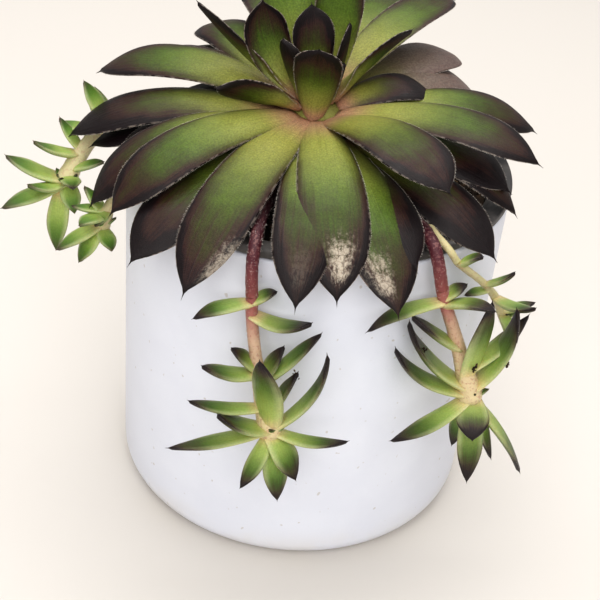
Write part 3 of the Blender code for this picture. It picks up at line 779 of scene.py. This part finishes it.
# Where a leaf has been rubbed its skin is glossy and crazed, in a patch drawn out lengthwise. The patch's
# pale colour is partly worn skin and partly a painted highlight.
tree = big_leaf.node_tree
shader = tree.nodes["Principled BSDF"]
skin = shader.inputs["Base Color"].links[0].from_socket
satin = shader.inputs["Roughness"].links[0].from_socket
across, along = leaf_axes(tree)
rub_glint_side = own_value(tree, "rub_glint_side")
aside = maths(tree, "ABSOLUTE", maths(tree, "SUBTRACT", from_midrib(tree, across), rub_glint_side))
belt = maths(tree, "MULTIPLY", spread(tree, along, 0.68, 0.82), spread(tree, along, 0.95, 0.88))
belt = maths(tree, "MULTIPLY", belt, spread(tree, aside, 0.72, 0.10))
drawn_out = add_node(tree, "ShaderNodeCombineXYZ", {
    "X": maths(tree, "MULTIPLY", across, 15.0), "Y": maths(tree, "MULTIPLY", along, 46.0), "Z": rub_glint_side,
}).outputs["Vector"]
rub_glint_noise = maths(tree, "ADD", clouds(tree, drawn_out, 1.0, 5.0, 0.75), maths(tree, "MULTIPLY", belt, 0.22))
rub_glint_patch = maths(tree, "MULTIPLY", spread(tree, rub_glint_noise, 0.52, 0.80), belt)
rub_glint_patch = maths(tree, "MULTIPLY", rub_glint_patch, own_value(tree, "rub_glint"), clamp=True)
where = object_place(tree)
uneven = add_node(tree, "ShaderNodeTexNoise", {"Vector": where, "Scale": 500.0, "Detail": 2.0})
uneven = add_node(tree, "ShaderNodeVectorMath", {0: uneven.outputs["Color"], "Scale": 0.0012},
                  operation="SCALE")
uneven = add_node(tree, "ShaderNodeVectorMath", {0: where, 1: uneven.outputs["Vector"]}, operation="ADD")
crazing = add_node(tree, "ShaderNodeTexVoronoi", {"Vector": uneven.outputs["Vector"], "Scale": 520.0},
                   feature="DISTANCE_TO_EDGE").outputs["Distance"]
# The patch's crazed pale colour: partly worn skin, partly a painted highlight.
pale = mix_colour(tree, spread(tree, crazing, 0.0, 0.06), RUB_GLINT_CRAZE, RUB_GLINT_PALE)
# The blunt leaves are painted taupe all over: a painted sheen that stands for the pale grazing reflection on
# them.
taupe_sheen = maths(tree, "MULTIPLY", own_value(tree, "taupe_sheen"), spread(tree, along, 0.15, 0.55, 0.3, 0.9))
taupe = mix_colour(tree, spread(tree, clouds(tree, where, 1600.0), 0.35, 0.65), TAUPE_DARK, TAUPE_LIGHT)
skin = mix_colour(tree, taupe_sheen, skin, taupe)
tree.links.new(mix_colour(tree, rub_glint_patch, skin, pale), shader.inputs["Base Color"])
tree.links.new(maths(tree, "SUBTRACT", satin, maths(tree, "MULTIPLY", rub_glint_patch, 0.18)),
               shader.inputs["Roughness"])

leaf_dice = random.Random(11)
blank = leaf_blank(LEAF_SIDES, LEAF_CUTS)
big_leaves, big_lashes = [], []
for out, height, thick, edge_rise, rows in LEAF_RINGS:
    for row in rows:
        this_leaf = (out, row[0])
        around = math.radians(row[0])
        root = (out * math.cos(around), out * math.sin(around), height)
        leaf, edges = bend_leaf(blank, "big_leaf", root, row, thick, edge_rise, BEND_POWER, BIG_OUTLINE,
                                leaf_dice, blunt=this_leaf in BLUNT)
        rub_glint, rub_glint_side = RUB_GLINT_LEAVES.get(this_leaf, (0.0, 0.0))
        tag_leaf(leaf, {
            "tone": leaf_dice.random(),
            "dark": leaf_dice.uniform(*DARK_CHANCE) + RING_DARK.get(out, 0.0) - LIGHT.get(this_leaf, 0.0),
            "rub_glint": rub_glint, "rub_glint_side": rub_glint_side, "taupe_sheen": float(this_leaf in BLUNT),
        })
        big_lashes += lashes(edges, leaf_dice, LASH_LENGTH if out > HEART_REACH else HEART_LASH_LENGTH,
                             LASH_SPACING, start=0.25, stop=0.93)
        move_points(leaf, in_pot_frame)
        big_leaves.append(leaf)
rosette_leaves = join(big_leaves, "rosette_leaves", big_leaf)

hair = hair_blank()
lean = Matrix.Translation(HEART) @ Matrix.Rotation(LEAN, 4, "X") @ Matrix.Scale(MM, 4)
silver_hair, tree, shader = new_finish("silver_hair", {"Roughness": 0.4, "Specular IOR Level": 0.5})
tree.links.new(ramp(tree, clouds(tree, object_place(tree), 90.0), [
    (0.35, (0.42, 0.36, 0.33)), (0.65, (0.78, 0.74, 0.68)),
]), shader.inputs["Base Color"])
rosette_lashes = scatter(hair, "rosette_lashes", [
    lean @ Matrix.Translation(root) @ turn @ Matrix.Diagonal((LASH_RADIUS, LASH_RADIUS, size, 1))
    for root, turn, size in big_lashes], silver_hair)

rosette_trunk = leaf_blank(TRUNK_SIDES, TRUNK_CUTS)
rosette_trunk.name = "rosette_trunk"
for vertex in rosette_trunk.data.vertices:
    level = TRUNK_HEIGHTS[0] + (vertex.co.z + 0.5) * (TRUNK_HEIGHTS[-1] - TRUNK_HEIGHTS[0])
    radius = float(np.interp(level, TRUNK_HEIGHTS, TRUNK_RADII))
    ridge = noise.noise(Vector((vertex.co.x * 3, vertex.co.y * 3, level * 0.6)))
    radius *= 1 + BARK_ROUGH * ridge
    vertex.co = lean @ Vector((vertex.co.x * radius, vertex.co.y * radius, level))
bpy.ops.object.shade_smooth_by_angle(angle=math.radians(60))
trunk_bark, tree, shader = new_finish("trunk_bark", {"Roughness": 0.7})
height, mottle = grain(tree, 1100.0)
bark = ramp(tree, mottle, [(0.35, (0.055, 0.030, 0.020)), (0.65, (0.19, 0.12, 0.07))])
level = add_node(tree, "ShaderNodeSeparateXYZ", {"Vector": object_place(tree)}).outputs["Z"]
# Near the heart the bark gives way to fresh green skin.
fresh = spread(tree, level, HEART.z - 0.009, HEART.z - 0.004)
tree.links.new(mix_colour(tree, fresh, bark, FRESH_BARK), shader.inputs["Base Color"])
raise_bumps(tree, shader, height, 0.5 * MM)
rosette_trunk.data.materials.append(trunk_bark)
for piece in (rosette_leaves, rosette_lashes, rosette_trunk):
    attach(piece, "root")
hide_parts("rosette")

# Five shoots trail over the rim. Each is a finely haired runner, crimson or pale, that leaves the trunk,
# and a young plant at its end: a fleshy stem with small fresh green leaves, dark only at their tips.
SMALL_SIDES = 12
SMALL_CUTS = 16
SMALL_BEND_POWER = 1.3
SMALL_OUTLINE = (0.60, 0.50, 1.9)
SMALL_EDGE_RISE = 0.20
SMALL_THICK, SMALL_THICK_PER_WIDTH = 1.2, 0.12
STEM_SIDES = 16
STEM_STEPS = 12
STEM_LEAST_CUTS, STEM_CUTS_PER_MM = 24, 1.6
STEM_ROUGH = 0.07
HAIRS_PER_SQUARE_MM = 5
FUZZ_RADIUS, FUZZ_STRAY, FUZZ_LENGTHS = 0.04, 0.35, (0.35, 0.75)
# A young plant's stem starts this many steps inside the runner's end, with this share of its radius.
SUNK_STEPS, SUNK_SHARE = 3, 0.97
# Leaves follow each other round a bud by the golden angle, and each is a little steeper and shorter.
GOLDEN_ANGLE = 137.5
BUD_LEAVES, BUD_DEPTH = 7, 2.0
BUD_RISE, BUD_STEEPER, BUD_DROOP = 40, 5, -10
BUD_LENGTH, BUD_SHORTER, BUD_WIDTH = 6.5, 0.5, 3.2
BUD_THICK, BUD_EDGE_RISE, BUD_DARK = 1.0, 0.3, -0.1
SMALL_DARK_CHANCE = (-0.06, 0.05)
# Points, radii and places are in millimetres; a leaf is its place along the stem, turn, rise, droop,
# length and width.
SHOOTS = {
    "front": {
        "runner": ((-4.4, -3.6, 115.7), (-9, -18, 117.4), (-13.5, -37, 120.0), (-14.6, -50, 121.4),
                   (-14.9, -59.8, 121.0), (-15.1, -63.4, 115.2), (-14.6, -63.6, 106.0)),
        "runner_radius": 1.75,
        "stem": ((-14.5, -63.6, 105.7), (-14, -63.9, 98), (-11.8, -67, 87), (-9, -71, 77),
                 (-6, -73.8, 67), (-5.6, -74.2, 64)),
        "stem_radii": (1.75, 1.7, 1.8, 2.6, 3.6, 1.6),
        "leaves": (
            (2, 209, 4, 21, 18, 6.5), (6, 338, -15, -66, 20, 7.5), (2, 8, 35, 10, 8, 6),
            (23, 178, 40, -5, 11, 6.5), (24, 208, 7, -40, 20, 7.5), (27, 30, 62, 0, 14, 6.5),
            (27, 10, 44, -14, 25, 6.5), (37, 15, 62, -4, 18, 6.5), (34, 204, 3, -36, 25, 6),
            (41, 242, 78, 9, 32, 10.5), (41, 2, 39, -60, 34, 7), (41, 210, 15, -43, 21, 9.5),
            (41, 205, -8, -20, 31, 6.5), (41, 344, -11, -50, 25, 5.5), (42, 248, -42, -45, 20, 5.5),
            (42, 318, -34, 18, 16, 9), (42.5, 296, -58, 17, 21, 8),
        ),
    },
    "right": {
        "runner": ((2.2, -2.2, 115.5), (11, -16, 117.6), (21, -28, 119.6), (29.3, -39.7, 121.0),
                   (33.5, -50.8, 121.3), (35.8, -54.3, 116.5), (38, -53.8, 108.4)),
        "runner_radius": 1.85,
        "stem": ((38.1, -53.8, 108.1), (39.5, -54, 104), (43, -54.5, 96), (47, -55, 86),
                 (51.7, -55.5, 73.4), (52.4, -55.8, 70)),
        "stem_radii": (1.85, 1.8, 1.9, 2.3, 3.8, 1.6),
        "leaves": (
            (4, 210, 4, 34, 26, 6.5), (5, 326, 32, 30, 17, 7), (3, 12, 42, 6, 8, 6),
            (20, 198, 32, -15, 21, 9), (29, 27, 28, -33, 26, 6.5), (31, 318, 77, -16, 30, 10.5),
            (35, 184, 26, -52, 33, 9.5), (36, 18, 47, -62, 33, 9), (37, 189, 8, -62, 32, 8),
            (38, 218, -27, -40, 31, 7), (38, 226, -68, 15, 18, 6), (38, 335, -60, 7, 23, 6),
            (39, 277, -26, 26, 13, 10), (39, 282, -62, 13, 27, 8), (39, 358, -44, 22, 34, 7.5),
        ),
    },
    "side": {
        "runner": ((4.6, 1.5, 115.6), (20, -13.5, 117.4), (30, -31, 119), (35, -45, 120.2),
                   (38.5, -49, 118.6), (41.5, -48.6, 114.5)),
        "runner_radius": 1.1,
        "stem": ((41.8, -48.4, 114.1), (46, -46, 110), (50.5, -42.5, 105), (54, -39, 100), (57, -36, 95),
                 (60, -32, 88), (62, -29, 82)),
        "stem_radii": (1.1, 1.1, 1.1, 1.2, 1.3, 1.5, 1.0),
        "leaves": (
            (1, 339, 46, 18, 8, 6.5), (16, 330, 28, -39, 12, 4.5), (20, 200, -10, 0, 8, 4),
            (26, 303, 5, -45, 20, 6), (35, 8, 10, -20, 11, 5), (37, 300, -20, 10, 11, 5),
            (37, 60, -10, -10, 9, 4.5), (39, 330, -55, 10, 12, 5),
        ),
    },
    "left": {
        "runner": ((-11.6, 6.8, 116.4), (-25, 7.8, 118.0), (-42, 9.2, 119.8), (-56, 10.0, 120.9),
                   (-65.5, 9.8, 118.2)),
        "runner_radius": 1.7,
        "stem": ((-66.2, 9.8, 117.8), (-70, 8.5, 115), (-75, 3.5, 109.5), (-79.3, -4.5, 102),
                 (-80.2, -7, 99)),
        "stem_radii": (1.7, 2.0, 2.4, 3.4, 1.5),
        "leaves": (
            (3, 156, 50, -10, 15.5, 7.5), (4, 120, 30, -20, 14, 7), (8, 168, 8, 2, 13, 6),
            (15, 163, 40, -25, 13, 5.5), (16, 215, 9, -40, 18, 7), (22, 345, 24, -5, 13, 6.5),
            (24, 290, 0, -20, 12, 6.5), (26, 195, 14, -31, 21, 9), (26, 300, -33, 10, 12, 6.5),
            (27, 217, -14, -7, 22, 8.5), (27, 238, 1, -45, 17, 6.5), (28, 260, -63, 21, 22, 7.5),
        ),
    },
    "low": {
        "runner": ((-9.8, -0.1, 116.0), (-22, -10, 117.2), (-38, -19.0, 118.7), (-52.5, -25.6, 120.2),
                   (-57.4, -27.4, 118.4), (-58.8, -28.0, 114.2)),
        "runner_radius": 1.4,
        "stem": ((-58.9, -28.0, 113.8), (-60.5, -28.8, 109), (-62.8, -29.5, 102.5), (-63.3, -29.8, 99)),
        "stem_radii": (1.4, 1.6, 2.6, 1.3),
        "leaves": (
            (7, 190, 0, -16, 11, 5), (7, 252, -15, -10, 8, 5), (9, 165, 48, -6, 11, 6),
            (9, 240, 14, 12, 12, 6.5), (12, 210, -25, -3, 16, 7.5), (13, 228, -47, 3, 13, 7.5),
            (13, 300, -20, -20, 11, 5.5),
        ),
    },
}
# These two have red in the young plant's own stem too.
TRAILING_RED = ("front", "right")
# How much further down its leaves each young plant has darkened.
RIPER = {"front": 0.08, "right": 0.10, "side": 0.04, "left": -0.14, "low": -0.12}
# A young leaf whose end has dried up, by shoot and turn, and crumbs of peat caught among the leaves, each
# by a point near it in millimetres and how far they lie apart.
SHRIVELLED = {("right", 277): 0.06}
CAUGHT = {"front": ((-0.1, -71.2, 86.1, 1.0),),
          "right": ((60.1, -55.0, 85.7, 0.8), (35.2, -58.6, 90.1, 0.9), (49.9, -58.6, 85.4, 1.3))}
CAUGHT_CRUMBS = 14
CAUGHT_LEAST, CAUGHT_MOST = 0.20, 0.62


def smooth_path(points):
    """A smooth curve that passes through all the points."""
    points = [Vector(p) for p in points]
    padded = [points[0] * 2 - points[1], *points, points[-1] * 2 - points[-2]]
    path = []
    for a, b, c, d in zip(padded, padded[1:], padded[2:], padded[3:]):
        for k in range(STEM_STEPS):
            t = k / STEM_STEPS
            path.append(0.5 * (2 * b + (c - a) * t + (2 * a - 5 * b + 4 * c - d) * t * t
                               + (3 * b - a - 3 * c + d) * t ** 3))
    return [*path, points[-1]]


def along_path(path, distance):
    """The point that lies this far along a path."""
    for a, b in zip(path, path[1:]):
        step = (b - a).length
        if distance <= step:
            return a.lerp(b, distance / step)
        distance -= step
    return path[-1].copy()


def bend_stem(name, path, radii, finish, dice, round_end):
    """A stem along a path in millimetres, its far end rounded or cut square; returns it with its hairs."""
    lengths = np.concatenate([[0], np.cumsum([(b - a).length for a, b in zip(path, path[1:])])])
    whole = lengths[-1]
    line = np.array(path)
    made = leaf_blank(STEM_SIDES, max(STEM_LEAST_CUTS, int(whole * STEM_CUTS_PER_MM)))
    made.name = name
    along, across, side = blank_coordinates(made)
    levels = np.unique(np.round(along, 6))
    places = levels * whole
    centres = np.stack([np.interp(places, lengths, line[:, k]) for k in range(3)], 1)
    size = np.interp(places, lengths, radii)
    if round_end:
        left = np.clip((whole - places) / (0.8 * size), 0, 1)
        size = size * np.sqrt(np.clip(1 - (1 - left) ** 2, 0.02, 1))
    tangent = np.gradient(centres, axis=0)
    tangent /= np.linalg.norm(tangent, axis=1)[:, None]
    # Each ring's first direction follows from the last one's, so that the stem doesn't twist.
    first = Vector(tangent[0]).orthogonal().normalized()
    firsts = []
    for way in tangent:
        way = Vector(way)
        first = (first - way * first.dot(way)).normalized()
        firsts.append(np.array(first))
    firsts = np.array(firsts)
    seconds = np.cross(tangent, firsts)
    ring = np.searchsorted(levels, np.round(along, 6))
    rough = np.array([1 + STEM_ROUGH * noise.noise(Vector((x * 1.5, y * 1.5, p * 0.55)))
                      for x, y, p in zip(across, side, along * whole)])
    reach = (size[ring] * rough)[:, None]
    points = centres[ring] + (firsts[ring] * across[:, None] + seconds[ring] * side[:, None]) * reach
    made.data.vertices.foreach_set("co", (points * MM).ravel())
    draw_map(made, across, along)
    made.data.materials.append(finish)
    hairs = []
    for _ in range(int(whole * float(np.mean(radii)) * HAIRS_PER_SQUARE_MM)):
        k = int(np.searchsorted(places, whole * dice.random()))
        k = min(max(k, 1), len(places) - 1)
        angle = dice.uniform(0, 2 * math.pi)
        out = Vector(firsts[k] * math.cos(angle) + seconds[k] * math.sin(angle))
        aim = out + stray(dice, FUZZ_STRAY)
        hairs.append((Vector(centres[k]) + out * float(size[k]), aimed(aim), dice.uniform(*FUZZ_LENGTHS)))
    return made, hairs


# The young leaves' wide pale rim, over the outer half of their width, is partly their own paler margin and
# partly painted glow: the light that shines through their thin edges.
young_leaf = leaf_skin(
    "young_leaf_skin",
    ((0.72, 0.56, 0.30), (0.34, 0.44, 0.115), (0.115, 0.240, 0.025), (0.045, 0.020, 0.015),
     (0.010, 0.004, 0.005)),
    {"Specular IOR Level": 0.40, "Subsurface Weight": 0.15, "Subsurface Scale": 0.0015},
    dark_from=0.82, edge_dark=0.12, root_reach=1.7,
    rim_colour=(0.62, 0.64, 0.36), rim_from=0.45, rim_share=0.44, rim_fade=1.0)


def stem_skin(name, stops, fleck, fleck_share):
    """A stem's skin: its colour along the way, flecks and fine bumps."""
    finish, tree, shader = new_finish(name, {
        "Specular IOR Level": 0.45, "Subsurface Weight": 0.05, "Subsurface Scale": 0.001,
    })
    _, along = leaf_axes(tree)
    height, mottle = grain(tree, 1500.0)
    colour = ramp(tree, maths(tree, "ADD", along, swing(tree, mottle, 0.25)), stops)
    flecks = spread(tree, clouds(tree, object_place(tree), 1100.0, 2.0), 0.54, 0.64, 0, fleck_share)
    tree.links.new(mix_colour(tree, flecks, colour, fleck), shader.inputs["Base Color"])
    tree.links.new(spread(tree, mottle, 0.3, 0.7, 0.40, 0.56), shader.inputs["Roughness"])
    raise_bumps(tree, shader, height, 0.3 * MM)
    return finish


# Along the runner the crimson stays near-black for its first three quarters, out from the trunk under the
# rosette's leaves, and only then brightens; that darkness is partly the runner's own deep crimson and partly
# painted shade.
red_stem = stem_skin("red_runner", [
    (0.0, (0.030, 0.004, 0.009)), (0.72, (0.045, 0.006, 0.012)), (0.86, (0.085, 0.012, 0.020)),
    (1.0, (0.24, 0.065, 0.066)),
], (0.40, 0.20, 0.18), 0.30)
pale_stem = stem_skin("pale_runner", [
    (0.0, (0.50, 0.38, 0.22)), (0.5, (0.56, 0.48, 0.27)), (1.0, (0.60, 0.54, 0.30)),
], (0.40, 0.24, 0.16), 0.30)
young_stem = stem_skin("young_stem", [
    (0.0, (0.24, 0.065, 0.066)), (0.16, (0.38, 0.15, 0.13)), (0.36, (0.60, 0.41, 0.29)),
    (0.70, (0.68, 0.54, 0.33)), (1.0, (0.68, 0.58, 0.34)),
], (0.36, 0.12, 0.11), 0.40)
cream_stem = stem_skin("cream_stem", [
    (0.0, (0.60, 0.54, 0.30)), (0.5, (0.62, 0.55, 0.32)), (1.0, (0.64, 0.57, 0.32)),
], (0.46, 0.24, 0.18), 0.30)


def in_metres(points):
    """Points in millimetres, as metres."""
    return points * MM


def small_leaf(name, root, row, thick, edge_rise):
    """A leaf of a young plant, bent from the small blank; returns it with its edge lines."""
    return bend_leaf(small_blank, name, root, row, thick, edge_rise, SMALL_BEND_POWER, SMALL_OUTLINE,
                     leaf_dice)


def caught_places(skin, spots):
    """Places of the crumbs of peat that lie on the skin near these spots."""
    places = []
    for x, y, z, apart in spots:
        spot = Vector((x, y, z)) * MM
        near = min((v.co for v in skin.data.vertices), key=lambda point: (point - spot).length)
        for _ in range(CAUGHT_CRUMBS):
            size = peat_dice.uniform(CAUGHT_LEAST, CAUGHT_MOST) * MM
            shift = stray(peat_dice, apart) * MM
            places.append(Matrix.Translation(near + shift) @ spin_matrix(peat_dice)
                          @ Matrix.Diagonal((size, size * 0.8, size * 0.6, 1)))
    return places


small_blank = leaf_blank(SMALL_SIDES, SMALL_CUTS)
for shoot_name, shoot in SHOOTS.items():
    runner_path = smooth_path(shoot["runner"])
    radii = [shoot["runner_radius"]] * len(runner_path)
    finish = pale_stem if shoot_name == "side" else red_stem
    runner, hairs = bend_stem(f"runner_{shoot_name}_skin", runner_path, radii, finish, leaf_dice,
                              round_end=False)
    # The stem starts inside the runner's end, so that no seam shows between them.
    path = smooth_path(shoot["stem"])
    stops = shoot["stem_radii"]
    radii = [a + (b - a) * k / STEM_STEPS for a, b in zip(stops, stops[1:]) for k in range(STEM_STEPS)]
    radii = [radii[0] * SUNK_SHARE, *radii, stops[-1]]
    finish = young_stem if shoot_name in TRAILING_RED else cream_stem
    stem, more = bend_stem(f"stem_{shoot_name}", [runner_path[-SUNK_STEPS], *path], radii, finish,
                           leaf_dice, round_end=True)
    hairs += more
    leaves = []
    for place, *row in shoot["leaves"]:
        turn, width = row[0], row[-1]
        leaf, edges = small_leaf("young_leaf", along_path(path, place), row,
                                 SMALL_THICK + SMALL_THICK_PER_WIDTH * width, SMALL_EDGE_RISE)
        tag_leaf(leaf, {
            "tone": leaf_dice.random(),
            "dark": leaf_dice.uniform(*SMALL_DARK_CHANCE) + RIPER[shoot_name]
            + SHRIVELLED.get((shoot_name, turn), 0.0),
        })
        hairs += lashes(edges, leaf_dice, length=0.28, spacing=0.6, start=0.2, stop=0.9)
        leaves.append(leaf)
    # The heart of the young plant: a bud of tiny leaves round the stem's end.
    end = Vector(path[-1])
    away = (end - Vector(path[-8])).normalized()
    for k in range(BUD_LEAVES):
        rise = BUD_RISE + BUD_STEEPER * k
        length = BUD_LENGTH - BUD_SHORTER * k
        row = (GOLDEN_ANGLE * k, rise, BUD_DROOP, length, BUD_WIDTH)
        leaf, _ = small_leaf("bud_leaf", end - away * BUD_DEPTH, row, BUD_THICK, BUD_EDGE_RISE)
        tag_leaf(leaf, {"tone": leaf_dice.random(), "dark": BUD_DARK})
        leaves.append(leaf)
    for leaf in leaves:
        move_points(leaf, in_metres)
    young = join(leaves, f"young_plant_{shoot_name}", young_leaf)
    if shoot_name in CAUGHT:
        caught_crumbs = scatter(crumb, f"caught_crumbs_{shoot_name}",
                                caught_places(young, CAUGHT[shoot_name]), damp_peat)
        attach(caught_crumbs, "root")
    slim = FUZZ_RADIUS * MM
    fuzz = scatter(hair, f"fuzz_{shoot_name}", [
        Matrix.Translation(root * MM) @ turn @ Matrix.Diagonal((slim, slim, size * MM, 1))
        for root, turn, size in hairs], silver_hair)
    for piece, slot in ((runner, "pale_stem" if shoot_name == "side" else "red_stem"),
                        (stem, "young_leaf"), (young, "young_leaf"), (fuzz, "young_leaf")):
        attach(piece, "root")
    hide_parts(f"runner_{shoot_name}")
    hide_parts(f"offset_{shoot_name}")

for spare in (crumb, hair, blank, small_blank):
    bpy.data.objects.remove(spare)

# The pot stands by itself on a plain pale floor. The floor is one smooth painted sheet, wide enough to
# fill the picture from the photo's angle.
FLOOR_SIZE = 6
FLOOR_PALE = (0.66, 0.63, 0.595)
bpy.ops.object.select_all(action="DESELECT")
bpy.ops.mesh.primitive_plane_add(size=FLOOR_SIZE)
floor = bpy.context.object
floor.name = "floor"
floor_paint, tree, shader = new_finish("floor_paint", {
    "Base Color": FLOOR_PALE, "Roughness": 0.6, "Specular IOR Level": 0.3,
})
floor.data.materials.append(floor_paint)

# The camera stands 35 degrees above the floor, with the picture turned 6 degrees. The pot's middle lies
# a little off the picture's middle, at this pixel of a picture this many pixels wide and high.
ELEVATION, ROLL = math.radians(35.3), math.radians(6.14)
DISTANCE = 0.4098
PICTURE = 600
AXIS_PIXEL = (303.4, 311.7)
SENSOR_WIDTH, LENS = 36, 72
back = Vector((0, -math.cos(ELEVATION), math.sin(ELEVATION)))
right = Vector((1, 0, 0))
up = right.cross(-back)
camera_data = bpy.data.cameras.new("camera")
camera_data.sensor_width = SENSOR_WIDTH
camera_data.lens = LENS
camera_data.shift_x = -(AXIS_PIXEL[0] - PICTURE / 2) / PICTURE
camera_data.shift_y = (AXIS_PIXEL[1] - PICTURE / 2) / PICTURE
camera = bpy.data.objects.new("camera", camera_data)
bpy.context.scene.collection.objects.link(camera)
turn = Matrix((
    right * math.cos(ROLL) + up * math.sin(ROLL), up * math.cos(ROLL) - right * math.sin(ROLL), back))
place = Matrix.Translation(Vector((0, 0, POT_HEIGHT / 2)) + back * DISTANCE)
camera.matrix_world = place @ turn.transposed().to_4x4()
bpy.context.scene.camera = camera

# Two big soft lights: a window above and a little behind the plant, and a fill from the front. An evenly
# bright room takes the black out of the shadows.
WARM_WHITE, SOFT_WHITE = (1.0, 0.98, 0.95), (1.0, 0.98, 0.96)
LIGHT_SIZE = 1.2
AIM_HEIGHT = 0.1
ROOM_BRIGHTNESS = 0.40


def soft_light(name, place, power, colour):
    """A big square light at this place, aimed at the plant."""
    light = bpy.data.lights.new(name, "AREA")
    light.shape = "SQUARE"
    light.size = LIGHT_SIZE
    light.energy = power
    light.color = colour
    made = bpy.data.objects.new(name, light)
    bpy.context.scene.collection.objects.link(made)
    made.location = place
    made.rotation_euler = (Vector((0, 0, AIM_HEIGHT)) - Vector(place)).to_track_quat("-Z", "Y").to_euler()


soft_light("window", (-0.04, 0.30, 1.08), 10.8, WARM_WHITE)
soft_light("fill", (0.0, -0.95, 0.9), 12.0, SOFT_WHITE)
world = bpy.data.worlds.new("studio")
world.use_nodes = True
room = world.node_tree.nodes["Background"]
feed(world.node_tree, room.inputs["Color"], SOFT_WHITE)
feed(world.node_tree, room.inputs["Strength"], ROOM_BRIGHTNESS)
bpy.context.scene.world = world
bpy.context.scene.view_settings.view_transform = "Standard"
bpy.context.scene.view_settings.look = "Medium High Contrast"
